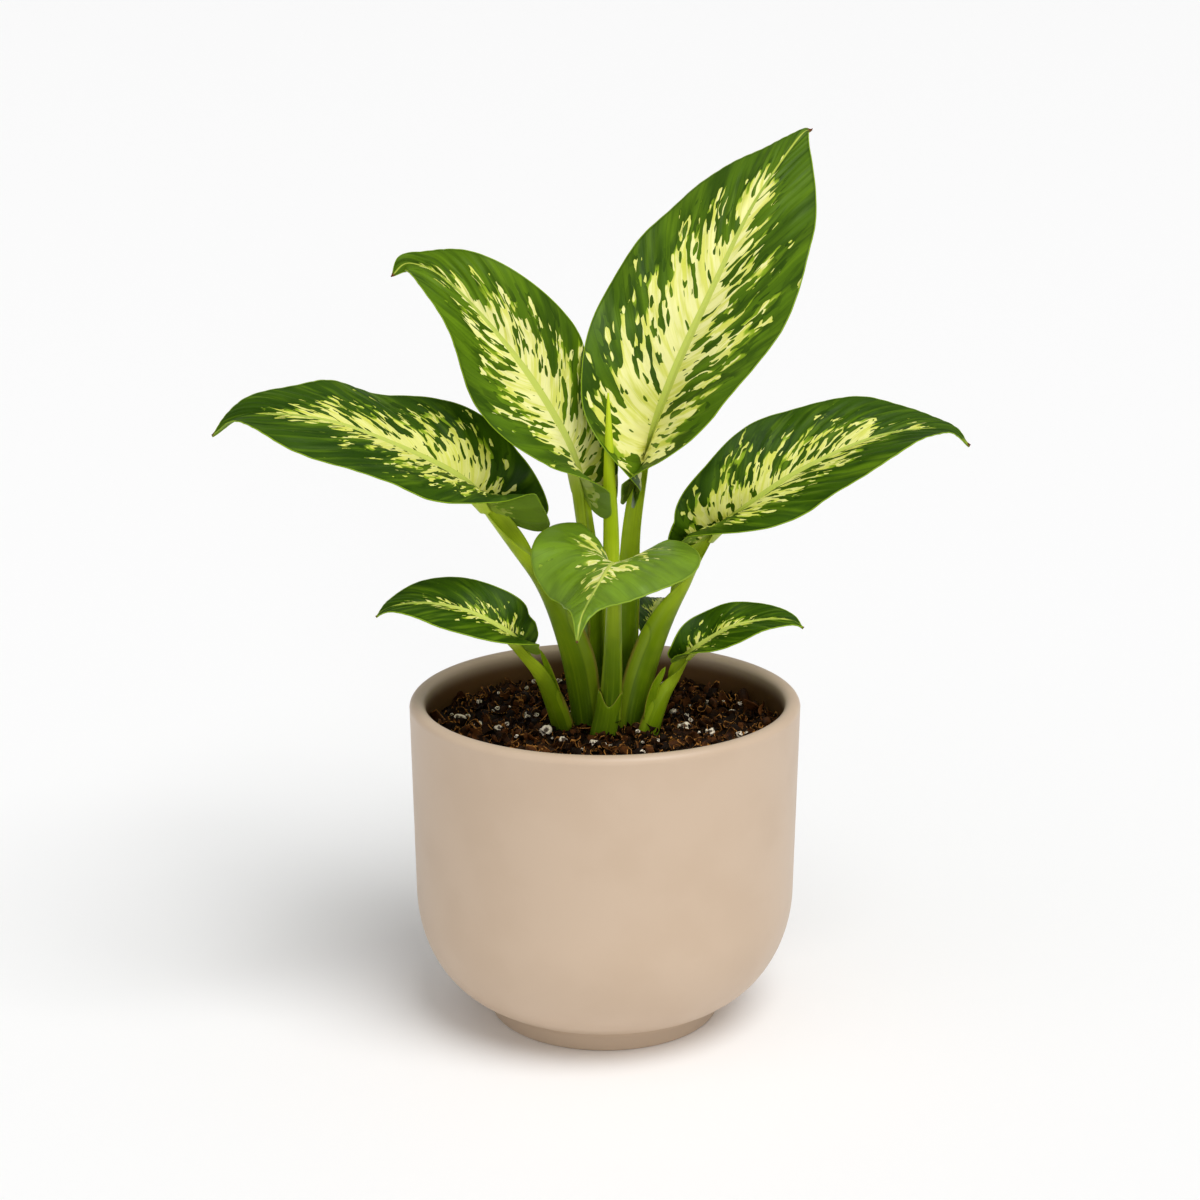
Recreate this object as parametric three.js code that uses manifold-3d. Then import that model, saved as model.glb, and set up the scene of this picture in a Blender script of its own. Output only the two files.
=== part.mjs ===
// Potted dieffenbachia: a ceramic pot filled with potting soil, and a young plant of eight leaves, a furled
// new leaf and a short cane. Millimetres, +Z up, the origin under the middle of the pot, which stands on
// Z = 0. -Y is the front of the plant, which its heart-shaped leaf faces.
import * as THREE from "three";
import { mergeVertices } from "three/addons/utils/BufferGeometryUtils.js";
import Module from "manifold-3d";

const wasm = await Module();
wasm.setup();

// ---------------------------------------------------------------- driving dimensions

// Pot: a foot ring, a quarter-ellipse lower wall, a nearly straight upper wall and a rounded lip.
const POT = {
  height: 111,
  rimRadius: 65,
  waistRadius: 63.8, // where the straight wall meets the curved one
  waistHeight: 45,
  curveWidth: 29, // the curved wall's half axes
  curveHeight: 38.5,
  wall: 5.3,
  floor: 8,
  footRadius: 38.9,
  footHeight: 5,
  footInnerRadius: 33,
  footRecess: 2,
};
const POT_SEGMENTS = 48;

const SOIL = { top: 99, relief: 1.3, clearance: 0.35, rings: 8, segments: 36 };

const GAP = 0.35; // left between neighbouring pieces that touch on the plant

// Leaf blades: their thickness, and the faces along and across each half of a large and of a small blade.
const BLADE = { thickness: 0.8, large: { along: 22, across: 5 }, small: { along: 16, across: 4 } };

// Outline of a blade. Each point says where its side vein leaves the midrib, how far along the blade the vein
// meets the margin, and the half width there: 0 to 1 along the midrib, 1 for the full half width.
const OVAL = [
  [0, -0.06, 0.4],
  [0.015, -0.045, 0.58],
  [0.05, 0.03, 0.78],
  [0.1, 0.15, 0.93],
  [0.17, 0.29, 0.995],
  [0.25, 0.42, 1],
  [0.35, 0.56, 0.93],
  [0.46, 0.69, 0.77],
  [0.58, 0.8, 0.54],
  [0.7, 0.88, 0.33],
  [0.82, 0.94, 0.16],
  [0.92, 0.98, 0.055],
  [1, 1, 0],
];
const HEART = [
  [0, -0.26, 0.42],
  [0.03, -0.24, 0.62],
  [0.08, -0.14, 0.84],
  [0.14, -0.01, 0.97],
  [0.22, 0.14, 1],
  [0.3, 0.29, 0.93],
  [0.4, 0.44, 0.78],
  [0.52, 0.58, 0.57],
  [0.64, 0.7, 0.37],
  [0.76, 0.8, 0.2],
  [0.87, 0.89, 0.09],
  [0.95, 0.96, 0.035],
  [1, 1, 0],
];
const VEIN_SWEEP = 1.25; // how late a side vein turns towards the tip
const RIB_FADE = 1.5; // how soon the midrib, as deep as the leaf stalk at its foot, thins into the blade
const SECOND_WAVE = 0.37; // how far the waves of one margin run ahead of the other's

// Leaves.
// midrib: points from the leaf stalk to the tip.
// face: the way the upper side looks.
// lobe: length of the base lobes.
// roll, fold, curl: degrees at equal steps from base to tip. They are the blade's turn about its midrib, how
//   steeply each half rises from it, and how much each half bends on the way to its margin.
// wave: depth, number and phase of the waves along each margin.
// stalk: points of the leaf stalk from its foot, on the side that looks towards the plant.
// inward: the way that side looks.
// section: half width, depth and thickness of the leaf stalk at equal steps from foot to blade. A thickness
//   less than the depth leaves the inward side hollow.
const SHEATH = {
  width: [5.6, 5.8, 5.2, 3.8, 2.6],
  depth: [5, 4.8, 4.4, 4.1, 4],
  thick: [3.4, 3.2, 3.2, 3.8, 4],
};
const SLIM = {
  width: [3.8, 4, 3.6, 2.5, 1.9],
  depth: [3.2, 3.2, 3.1, 2.9, 2.9],
  thick: [2.4, 2.3, 2.4, 2.8, 2.9],
};
const LEAVES = {
  top: {
    midrib: [
      [12, 24, 183], [23, 20, 216], [36, 24, 245],
      [49.5, 36, 270.5], [65, 55, 290], [70, 58.5, 293],
    ],
    face: [-0.1, -0.85, 0.5],
    halfWidth: 32,
    outline: OVAL,
    lobe: 1.1,
    roll: [5, 14, 14],
    fold: [78, 21, 4, -7],
    curl: [5, -13],
    wave: [1.2, 3.3, 0.2],
    inward: [-0.1, -0.85, 0.5],
    stalk: [[4.5, 14.5, 88], [6.5, 16.5, 112], [8, 19, 140], [9, 21, 162]],
    section: {
      width: [4.6, 4.4, 4, 3.2, 2.6],
      depth: [4.4, 4.4, 4.2, 4.1, 4],
      thick: [3.2, 3.2, 3.4, 3.8, 4],
    },
  },
  upper_left: {
    midrib: [
      [-7, 8, 178.3], [-13.2, 8, 197.7], [-27.6, 3, 222.7],
      [-48.7, 2, 247.5], [-62.5, 9, 253.7], [-69, 9.5, 249.3],
    ],
    face: [0.5, -0.6, 0.6],
    halfWidth: 22,
    outline: OVAL,
    lobe: 1.3,
    roll: [-26, 25, -4],
    fold: [28, 4, 24, 8],
    curl: [-4, -4],
    wave: [1.4, 2.2, 0.35],
    inward: [0.5, -0.6, 0.6],
    stalk: [[-2.5, 9, 88], [-3, 8.5, 112], [-3.4, 8.2, 136], [-4.6, 8.6, 158]],
    section: {
      width: [4.2, 4, 3.4, 2.8, 2.4],
      depth: [4.2, 4.1, 4, 4, 4],
      thick: [3.2, 3.2, 3.6, 3.8, 4],
    },
  },
  left: {
    midrib: [
      [-37, 2, 174], [-50, -9, 189], [-74, -22, 204],
      [-92, -26, 210], [-112, -23, 210], [-124, -20, 203],
    ],
    face: [0, -0.35, 1],
    halfWidth: 24,
    outline: OVAL,
    lobe: 2.4,
    roll: [30, 9, 0],
    fold: [65, 15, 4, 30],
    curl: [-11, -8],
    wave: [1.2, 2.6, 0.6],
    inward: [0.5, 0.8, 0.3],
    stalk: [[-5, 3, 88], [-6.5, 3, 108], [-11.3, 3, 130], [-20.5, 3, 152]],
    section: SHEATH,
  },
  right: {
    midrib: [
      [33, 14, 161], [45, 10, 171.5], [65, 12, 185],
      [90.5, 15, 196], [112.5, 19, 197.5], [121.5, 19, 192],
    ],
    face: [0, -0.35, 1],
    halfWidth: 22,
    outline: OVAL,
    lobe: 1.2,
    roll: [-37, -13, 13],
    fold: [95, 42, 21, 9],
    curl: [-54, 2],
    wave: [0.8, 2.6, 0.1],
    inward: [-0.5, 0.8, 0.3],
    stalk: [[7.5, 2, 88], [9.3, 3, 106], [14.2, 6, 124], [22.5, 10, 143]],
    section: SHEATH,
  },
  front: {
    midrib: [
      [3, -11, 154], [3.4, -22, 162], [1, -34, 163.5],
      [-3, -47, 160], [-7, -60, 155], [-8.5, -65, 148],
    ],
    face: [0, 0, 1],
    halfWidth: 28,
    outline: HEART,
    lobe: 0.3,
    roll: [13, -13, -7],
    fold: [69, 3, -15, 11],
    curl: [-48, -19],
    wave: [0.5, 2, 0],
    inward: [0, 1, 0.3],
    stalk: [[2, -8.5, 113], [2.6, -9, 126], [2.8, -9.5, 138], [2.9, -10, 147]],
    section: {
      width: [2.9, 2.8, 2.7, 2.5, 2.3],
      depth: [3.4, 3.4, 3.4, 3.5, 3.6],
      thick: [3.4, 3.4, 3.4, 3.5, 3.6],
    },
  },
  low_left: {
    midrib: [
      [-27.5, -16, 133], [-32, -19, 138.5], [-43.5, -20.5, 145.5],
      [-56.5, -21, 148.5], [-68, -23, 148], [-73.5, -23, 144.5],
    ],
    face: [0, -0.3, 1],
    halfWidth: 12.6,
    outline: OVAL,
    lobe: 1.3,
    small: true,
    roll: [14, 14, -2],
    fold: [48, 16, 8, 8],
    curl: [-1, -9],
    wave: [0.3, 2, 0],
    inward: [0.4, 0.85, 0.3],
    stalk: [[-12, 1.5, 88], [-14, -0.5, 100], [-17.5, -6.2, 113], [-22, -11, 124]],
    section: SLIM,
  },
  low_right: {
    midrib: [
      [26, -4.5, 125.5], [33.5, -6, 131.5], [41.5, -8, 137],
      [51.5, -8.5, 139.5], [60.5, -10.5, 140], [65, -11, 137.5],
    ],
    face: [0, -0.3, 1],
    halfWidth: 9.5,
    outline: OVAL,
    lobe: 1.2,
    small: true,
    roll: [-28, -12, -3],
    fold: [75, 18, 10, 5],
    curl: [-4, -6],
    wave: [0.3, 2, 0],
    inward: [-0.4, 0.85, 0.3],
    stalk: [[12, -6, 88], [14, -5.5, 98], [17, -5, 108], [21, -4.5, 117]],
    section: SLIM,
  },
  back: {
    midrib: [
      [15.5, 24, 126], [17, 32, 130], [18.5, 40, 132],
      [20, 48, 131.5], [21.5, 56, 129], [22, 61, 126],
    ],
    face: [0, 0, 1],
    halfWidth: 8.5,
    outline: OVAL,
    lobe: 1.2,
    small: true,
    roll: [0, 0, 0],
    fold: [50, 16, 8, 5],
    curl: [-2, -8],
    wave: [0.3, 2, 0],
    inward: [-0.1, -1, 0.4],
    stalk: [[8, 25, 88], [9.5, 25, 100], [11.5, 24.5, 110], [13.5, 24, 119]],
    section: SLIM,
  },
};

// The cane, with the sheath that wraps it, and the furled new leaf.
const CANE = {
  path: [[-1.5, -9.5, 86], [-1, -8, 98], [0.5, -6, 106], [1.8, -5, 112]],
  width: [4.6, 4.4, 4, 3.6],
  depth: [3.8, 3.8, 3.8, 3.8],
  rings: 7,
  sides: 16,
};
const SPEAR = {
  path: [[2.2, 8, 118], [2.3, 7.5, 140], [2.2, 6.5, 165], [1.6, 3.5, 184], [1.3, 1.5, 203], [1.1, 0.5, 218]],
  width: [2.4, 3, 2.8, 2.2, 1.4, 0.4],
  depth: [2.4, 3, 2.8, 2.2, 1.4, 0.4],
  rings: 14,
  sides: 12,
};

// Perlite grains on the soil: place across and from front to back, and size.
const PERLITE = [
  [-49, 6, 2.2], [-42.5, -3, 1.7], [-35.5, -4.5, 1.5], [-19.5, -9, 2.3], [-13.5, -18.5, 1.6],
  [-3.5, -20.5, 1.7], [26.5, -4.5, 2.3], [35, -8, 1.8], [44.5, -11.5, 1.4], [43.5, 16, 1.5],
];

// ---------------------------------------------------------------- materials

const MATERIALS = {
  ceramic: new THREE.MeshStandardMaterial({ color: 0xb59f88, roughness: 0.55, metalness: 0 }),
  soil: new THREE.MeshStandardMaterial({ color: 0x2b1a10, roughness: 0.95, metalness: 0 }),
  perlite: new THREE.MeshStandardMaterial({ color: 0xe6dccb, roughness: 0.9, metalness: 0 }),
  blade: new THREE.MeshStandardMaterial({ color: 0x5d8f2a, roughness: 0.4, metalness: 0 }),
  stalk: new THREE.MeshStandardMaterial({ color: 0x6f8a1c, roughness: 0.45, metalness: 0 }),
  spear: new THREE.MeshStandardMaterial({ color: 0xb4c63c, roughness: 0.45, metalness: 0 }),
};

// ---------------------------------------------------------------- solids and booleans

function solidFromTriangles(positions, triangles) {
  return new wasm.Manifold(
    new wasm.Mesh({
      numProp: 3,
      vertProperties: new Float32Array(positions.flat()),
      triVerts: new Uint32Array(triangles.flat()),
    }),
  );
}

function solidFromGeometry(geometry) {
  const bare = geometry.clone();
  bare.deleteAttribute("normal");
  bare.deleteAttribute("uv");
  const merged = mergeVertices(bare, 1e-4);
  return new wasm.Manifold(
    new wasm.Mesh({
      numProp: 3,
      vertProperties: new Float32Array(merged.attributes.position.array),
      triVerts: new Uint32Array(merged.index.array),
    }),
  );
}

function largestBody(solid) {
  return solid.decompose().reduce((a, b) => (b.volume() > a.volume() ? b : a));
}

function meshFromSolid(name, solid, material) {
  const mesh = solid.getMesh();
  const geometry = new THREE.BufferGeometry();
  geometry.setAttribute("position", new THREE.BufferAttribute(new Float32Array(mesh.vertProperties), 3));
  geometry.setIndex(new THREE.BufferAttribute(new Uint32Array(mesh.triVerts), 1));
  geometry.computeVertexNormals();
  const piece = new THREE.Mesh(geometry, material);
  piece.name = name;
  return piece;
}

// ---------------------------------------------------------------- curves

function smoothCurve(points) {
  return new THREE.CatmullRomCurve3(points.map((p) => new THREE.Vector3(...p)), false, "catmullrom", 0.5);
}

// A value given at equal steps from 0 to 1, joined smoothly.
function steps(values) {
  const curve = smoothCurve(values.map((value) => [value, 0, 0]));
  return (u) => curve.getPoint(THREE.MathUtils.clamp(u, 0, 1)).x;
}

// The frame at u along a curve: the point, the tangent, the side and the way that the upper face looks.
// Before the curve's start and past its end it runs straight on.
function frameAlong(curve, face, roll) {
  const length = curve.getLength();
  return (u) => {
    const on = THREE.MathUtils.clamp(u, 0, 1);
    const tangent = curve.getTangentAt(on);
    const point = curve.getPointAt(on).addScaledVector(tangent, (u - on) * length);
    const side = new THREE.Vector3().crossVectors(tangent, face).normalize();
    side.applyAxisAngle(tangent, -THREE.MathUtils.degToRad(roll(u)));
    const up = new THREE.Vector3().crossVectors(side, tangent);
    return { point, tangent, side, up };
  };
}

// ---------------------------------------------------------------- leaf blades

// The blade's upper surface: row 0 to 1 runs round the outline, v 0 to 1 runs out along that row's side vein,
// and hand is +1 or -1 for the half. grow widens the blade, for the room that its neighbours leave it.
function bladeSurface(leaf, grow) {
  const outline = smoothCurve(leaf.outline);
  const roll = steps(leaf.roll);
  const fold = steps(leaf.fold);
  const curl = steps(leaf.curl);
  const frame = frameAlong(smoothCurve(leaf.midrib), new THREE.Vector3(...leaf.face), roll);
  const [waveDepth, waveCount, wavePhase] = leaf.wave;
  return (row, v, hand) => {
    const { x: origin, y: reach, z: half } = outline.getPoint(row);
    const end = reach < origin ? origin + (reach - origin) * leaf.lobe : reach;
    const u = origin + (end - origin) * v ** VEIN_SWEEP;
    const across = half * v + (row < 1 ? (grow / leaf.halfWidth) * v : 0);
    const { point, tangent, side, up } = frame(u);
    const start = THREE.MathUtils.degToRad(fold(u));
    const bend = THREE.MathUtils.degToRad(curl(u)) || 1e-3;
    const angle = start + bend * across;
    const radius = leaf.halfWidth / bend;
    point.addScaledVector(side, hand * radius * (Math.sin(angle) - Math.sin(start)));
    point.addScaledVector(up, radius * (Math.cos(start) - Math.cos(angle)));
    const tilt = v === 0 ? 0 : angle;
    const normal = side.multiplyScalar(-hand * Math.sin(tilt)).addScaledVector(up, Math.cos(tilt));
    const ripple = Math.sin(2 * Math.PI * (waveCount * end + wavePhase + (hand > 0 ? 0 : SECOND_WAVE)));
    point.addScaledVector(normal, waveDepth * ripple * v ** 3 * half);
    if (row === 0) point.addScaledVector(tangent, -grow);
    return { point, normal, u };
  };
}

// A blade: its upper surface, its lower surface under it, and the margin between them. Its base is as deep
// as the leaf stalk that it grows from, and its tip is one point. grow thickens it all over.
function makeBlade(leaf, grow = 0) {
  const surface = bladeSurface(leaf, grow);
  const { along: rows, across } = leaf.small ? BLADE.small : BLADE.large;
  const rib = leaf.section.depth.at(-1);
  const perRow = 2 * across + 1;
  const upper = [];
  const lower = [];
  for (let r = 0; r <= rows; r++)
    for (let c = -across; c <= across; c++) {
      const { point, normal, u } = surface(r / rows, Math.abs(c) / across, c < 0 ? -1 : 1);
      const fading = (1 - THREE.MathUtils.clamp(u, 0, 1)) ** RIB_FADE;
      const ribbed = c === 0 ? (rib - BLADE.thickness) * fading : 0;
      upper.push(point.clone().addScaledVector(normal, grow).toArray());
      lower.push(point.addScaledVector(normal, -grow - BLADE.thickness - ribbed).toArray());
      if (r === rows) break; // the tip is one point
    }
  const tip = rows * perRow;
  const at = (r, c) => (r === rows ? tip : r * perRow + c);
  const under = upper.length;
  const triangles = [];
  const face = (a, b, c) => {
    if (a === b || b === c || c === a) return;
    triangles.push([a, b, c], [a + under, c + under, b + under]);
  };
  for (let r = 0; r < rows; r++)
    for (let c = 0; c < perRow - 1; c++) {
      face(at(r, c), at(r + 1, c + 1), at(r + 1, c));
      face(at(r, c), at(r, c + 1), at(r + 1, c + 1));
    }
  const edge = [];
  for (let c = 0; c < perRow; c++) edge.push(at(0, c));
  for (let r = 1; r <= rows; r++) edge.push(at(r, perRow - 1));
  for (let r = rows - 1; r > 0; r--) edge.push(at(r, 0));
  edge.forEach((a, i) => {
    const b = edge[(i + 1) % edge.length];
    triangles.push([a, a + under, b + under], [a, b + under, b]);
  });
  return solidFromTriangles([...upper, ...lower], triangles);
}

// ---------------------------------------------------------------- leaf stalks, cane and spear

// A body lofted through rings of points along a frame, closed with a fan at each end.
function loft(rings) {
  const count = rings[0].length;
  const positions = rings.flat().map((p) => p.toArray());
  const triangles = [];
  for (let r = 0; r < rings.length - 1; r++)
    for (let i = 0; i < count; i++) {
      const a = r * count + i;
      const b = r * count + ((i + 1) % count);
      triangles.push([a, b, b + count], [a, b + count, a + count]);
    }
  [0, rings.length - 1].forEach((r) => {
    const middle = rings[r].reduce((sum, p) => sum.add(p), new THREE.Vector3()).divideScalar(count);
    positions.push(middle.toArray());
    for (let i = 0; i < count; i++) {
      const a = r * count + i;
      const b = r * count + ((i + 1) % count);
      triangles.push(r === 0 ? [positions.length - 1, b, a] : [positions.length - 1, a, b]);
    }
  });
  return solidFromTriangles(positions, triangles);
}

const STALK_RINGS = 11;
const STALK_HALF_POINTS = 6;
const SHEATH_EDGE = 0.9; // thickness of a sheath's thin edges

// A leaf stalk: rounded outside, and flat or hollowed towards the plant, with thin edges where it is a
// sheath.
function makeStalk(leaf, grow = 0) {
  const curve = smoothCurve([...leaf.stalk, leaf.midrib[0]]);
  const frame = frameAlong(curve, new THREE.Vector3(...leaf.inward), (u) => leaf.roll[0] * u * u);
  const width = steps(leaf.section.width);
  const depth = steps(leaf.section.depth);
  const thick = steps(leaf.section.thick);
  const last = 1 - (GAP - grow) / curve.getLength();
  const rings = [];
  for (let r = 0; r <= STALK_RINGS; r++) {
    const u = (r / STALK_RINGS) * last;
    const { point, tangent, side, up } = frame(u);
    if (r === 0) point.addScaledVector(tangent, -grow);
    const ring = [];
    const place = (x, y) => ring.push(point.clone().addScaledVector(side, x).addScaledVector(up, y));
    for (let i = 0; i <= STALK_HALF_POINTS; i++) {
      const a = (Math.PI * i) / STALK_HALF_POINTS;
      place(Math.cos(a) * (width(u) + grow), -Math.sin(a) * (depth(u) + grow) - grow / 2);
    }
    for (let i = 0; i <= STALK_HALF_POINTS; i++) {
      const a = (Math.PI * i) / STALK_HALF_POINTS;
      const inner = SHEATH_EDGE + Math.sin(a) * (thick(u) - SHEATH_EDGE - depth(u));
      const edge = i % STALK_HALF_POINTS === 0 ? grow : 0;
      place(-Math.cos(a) * (width(u) + edge), inner + 2 * grow);
    }
    rings.push(ring);
  }
  return loft(rings);
}

// A round shoot: the cane, or the new leaf that is still rolled up.
function makeShoot(shoot, grow = 0) {
  const frame = frameAlong(smoothCurve(shoot.path), new THREE.Vector3(0, -1, 0), () => 0);
  const width = steps(shoot.width);
  const depth = steps(shoot.depth);
  const rings = [];
  for (let r = 0; r <= shoot.rings; r++) {
    const u = r / shoot.rings;
    const { point, tangent, side, up } = frame(u);
    if (r === 0) point.addScaledVector(tangent, -grow);
    if (r === shoot.rings) point.addScaledVector(tangent, grow);
    const ring = [];
    for (let i = 0; i < shoot.sides; i++) {
      const a = (2 * Math.PI * i) / shoot.sides;
      const x = Math.cos(a) * (width(u) + grow);
      const y = -Math.sin(a) * (depth(u) + grow);
      ring.push(point.clone().addScaledVector(side, x).addScaledVector(up, y));
    }
    rings.push(ring);
  }
  return loft(rings);
}

// ---------------------------------------------------------------- pot, soil and perlite

// Radius of the pot's outside, moved inwards by the wall, at a height on its curved or straight wall.
function wallRadius(z, inset) {
  if (z >= POT.waistHeight) {
    const lean = (z - POT.waistHeight) / (POT.height - POT.waistHeight);
    return THREE.MathUtils.lerp(POT.waistRadius, POT.rimRadius, lean) - inset;
  }
  const drop = Math.min(1, (POT.waistHeight - z) / (POT.curveHeight - inset));
  return POT.waistRadius - POT.curveWidth + (POT.curveWidth - inset) * Math.sqrt(1 - drop * drop);
}

// A profile of [radius, height] points turned about the vertical axis.
function turned(profile, segments) {
  const geometry = new THREE.LatheGeometry(profile.map((p) => new THREE.Vector2(...p)), segments);
  return geometry.rotateX(Math.PI / 2);
}

function makePot() {
  const lip = POT.wall / 2;
  const profile = [
    [0, POT.footRecess],
    [POT.footInnerRadius - 1, POT.footRecess],
    [POT.footInnerRadius, 0],
    [POT.footRadius - 0.8, 0],
    [POT.footRadius, 0.8],
    [POT.footRadius, POT.footHeight],
    [POT.footRadius + 1, POT.footHeight + 1.2],
  ];
  const outside = [8, 11, 15, 20, 27, 35, POT.waistHeight, POT.height - lip];
  outside.forEach((z) => profile.push([wallRadius(z, 0), z]));
  for (let i = 1; i < 5; i++) {
    const a = (Math.PI * i) / 5;
    profile.push([POT.rimRadius - lip + lip * Math.cos(a), POT.height - lip + lip * Math.sin(a)]);
  }
  const inside = [POT.height - lip, POT.waistHeight, 32, 22, 15, POT.floor + 2];
  inside.forEach((z) => profile.push([wallRadius(z, POT.wall), z]));
  profile.push([0, POT.floor]);
  return solidFromGeometry(turned(profile, POT_SEGMENTS));
}

// Height of the soil's lumps: a few crossing waves, flat near the pot's wall.
function soilRelief(x, y) {
  const lumps =
    Math.sin(x * 0.61 + 1.3 * Math.sin(y * 0.37)) * Math.cos(y * 0.53 + 1.1 * Math.sin(x * 0.29)) +
    0.6 * Math.sin(x * 1.13 - y * 0.91 + 2);
  const inside = THREE.MathUtils.smoothstep(POT.rimRadius - POT.wall - Math.hypot(x, y), 0, 8);
  return SOIL.relief * lumps * inside;
}

function makeSoil() {
  const inset = POT.wall + SOIL.clearance;
  const profile = [[0, POT.floor + SOIL.clearance]];
  const side = [POT.floor + 2.4, 15, 22, 32, POT.waistHeight, SOIL.top];
  side.forEach((z) => profile.push([wallRadius(z, inset), z]));
  const edge = wallRadius(SOIL.top, inset);
  for (let ring = SOIL.rings - 1; ring >= 0; ring--) profile.push([(edge * ring) / SOIL.rings, SOIL.top]);
  const geometry = turned(profile, SOIL.segments);
  const place = geometry.attributes.position;
  for (let i = 0; i < place.count; i++)
    if (place.getZ(i) > SOIL.top - 1e-3) place.setZ(i, SOIL.top + soilRelief(place.getX(i), place.getY(i)));
  return solidFromGeometry(geometry);
}

// A grain with an uneven surface, sunk a third into the soil.
function makeGrain([x, y, size], grow = 0) {
  const geometry = new THREE.IcosahedronGeometry(1, 1);
  const place = geometry.attributes.position;
  const p = new THREE.Vector3();
  for (let i = 0; i < place.count; i++) {
    p.fromBufferAttribute(place, i);
    const lumps = 0.16 * Math.sin(4.1 * p.x + x) * Math.cos(3.7 * p.y + y);
    const pits = 0.08 * Math.sin(6 * p.z + x * y);
    p.multiplyScalar(size * (1 + lumps + pits) + grow);
    place.setXYZ(i, p.x, p.y, p.z * 0.8);
  }
  geometry.translate(x, y, SOIL.top + soilRelief(x, y) + size * 0.25);
  return solidFromGeometry(geometry);
}

// ---------------------------------------------------------------- assembly

// Stalks in the order in which they keep their shape: where two meet at the foot of the plant, the later one
// is hollowed to clasp the earlier one, with a gap between them.
const STALK_ORDER = ["front", "right", "left", "low_right", "low_left", "top", "upper_left", "back"];

const part = new THREE.Group();
const grownBlades = Object.values(LEAVES).map((leaf) => makeBlade(leaf, GAP));
const grownBelow = [makeShoot(CANE, GAP)];

part.add(meshFromSolid("cane", makeShoot(CANE), MATERIALS.stalk));
for (const name of STALK_ORDER) {
  const leaf = LEAVES[name];
  let stalk = makeStalk(leaf);
  for (const neighbour of [...grownBelow, ...grownBlades]) stalk = stalk.subtract(neighbour);
  grownBelow.push(makeStalk(leaf, GAP));
  part.add(meshFromSolid(`leaf_${name}_stalk`, largestBody(stalk), MATERIALS.stalk));
  part.add(meshFromSolid(`leaf_${name}_blade`, makeBlade(leaf), MATERIALS.blade));
}

const spear = grownBelow.reduce((solid, neighbour) => solid.subtract(neighbour), makeShoot(SPEAR));
part.add(meshFromSolid("furled_leaf", largestBody(spear), MATERIALS.spear));

let soil = makeSoil();
for (const neighbour of grownBelow) soil = soil.subtract(neighbour);
PERLITE.forEach((grain, i) => {
  soil = soil.subtract(makeGrain(grain, GAP));
  part.add(meshFromSolid(`perlite_${i + 1}`, makeGrain(grain), MATERIALS.perlite));
});
part.add(meshFromSolid("soil", largestBody(soil), MATERIALS.soil));
part.add(meshFromSolid("pot", makePot(), MATERIALS.ceramic));

export default part;
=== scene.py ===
import math

import bmesh
import bpy
import numpy as np
from bpy.props import FloatProperty, FloatVectorProperty, IntProperty, PointerProperty
from mathutils import Matrix, Vector


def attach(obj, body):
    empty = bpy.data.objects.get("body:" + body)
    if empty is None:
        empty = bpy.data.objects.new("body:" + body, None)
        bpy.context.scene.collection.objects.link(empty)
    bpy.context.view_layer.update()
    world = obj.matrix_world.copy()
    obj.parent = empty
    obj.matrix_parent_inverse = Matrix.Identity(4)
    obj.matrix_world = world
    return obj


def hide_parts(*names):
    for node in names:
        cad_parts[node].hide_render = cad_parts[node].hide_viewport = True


# Potted dieffenbachia: the looks of the plant, its soil and its ceramic pot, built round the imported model.
# The plant's lengths are in millimetres, and are turned to metres where a mesh or a pattern is made. The
# stage's lengths are in metres.
# +Z is up, and -Y is the front of the plant.

bl_info = {
    "name": "Potted dieffenbachia",
    "version": (1, 0, 0),
    "blender": (4, 5, 0),
    "location": "3D View > Sidebar > Dieffenbachia",
    "description": "Builds a young variegated dieffenbachia in a ceramic pot",
    "category": "Object",
}

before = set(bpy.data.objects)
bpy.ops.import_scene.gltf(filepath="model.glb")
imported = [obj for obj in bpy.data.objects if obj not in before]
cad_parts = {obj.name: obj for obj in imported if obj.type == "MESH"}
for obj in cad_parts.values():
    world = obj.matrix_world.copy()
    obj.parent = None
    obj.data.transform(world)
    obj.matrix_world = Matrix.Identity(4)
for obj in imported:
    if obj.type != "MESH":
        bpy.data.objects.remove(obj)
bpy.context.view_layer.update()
MM = 0.001
BODY = "root"
FRONT = (0, -1, 0)
TURN = 2 * np.pi


def linear(hex_colour):
    """An sRGB hex colour as linear RGBA."""
    channels = [int(hex_colour[i : i + 2], 16) / 255 for i in (1, 3, 5)]
    return [c / 12.92 if c <= 0.04045 else ((c + 0.055) / 1.055) ** 2.4 for c in channels] + [1.0]


# ------------------------------------------------------------------ the plant's sizes

# Outline of a blade, as rows of three: where a side vein leaves the midrib, how far along the blade it meets
# the margin, and the half width there. All are shares of the midrib's length and of the full half width.
OVAL = [
    (0, 0, 0.02), (0, -0.035, 0.07), (0, -0.055, 0.18), (0, -0.065, 0.32), (0.005, -0.06, 0.46),
    (0.015, -0.04, 0.6), (0.05, 0.03, 0.78), (0.1, 0.15, 0.93), (0.17, 0.29, 0.995), (0.25, 0.42, 1),
    (0.35, 0.56, 0.93), (0.46, 0.69, 0.77), (0.58, 0.8, 0.54), (0.7, 0.88, 0.33), (0.82, 0.94, 0.16),
    (0.92, 0.98, 0.055), (1, 1, 0.006),
]
HEART = [
    (0, -0.02, 0.03), (0, -0.13, 0.15), (0, -0.2, 0.27), (0, -0.25, 0.42), (0.03, -0.24, 0.62),
    (0.08, -0.14, 0.84), (0.14, -0.01, 0.97), (0.22, 0.14, 1), (0.3, 0.29, 0.93), (0.4, 0.44, 0.78),
    (0.52, 0.58, 0.57), (0.64, 0.7, 0.37), (0.76, 0.8, 0.2), (0.87, 0.89, 0.09), (0.95, 0.96, 0.035),
    (1, 1, 0.006),
]
VEIN_SWEEP = 1.25  # how late a side vein turns towards the tip
SECOND_WAVE = 0.37  # how far the waves of one margin run ahead of the other's

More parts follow.
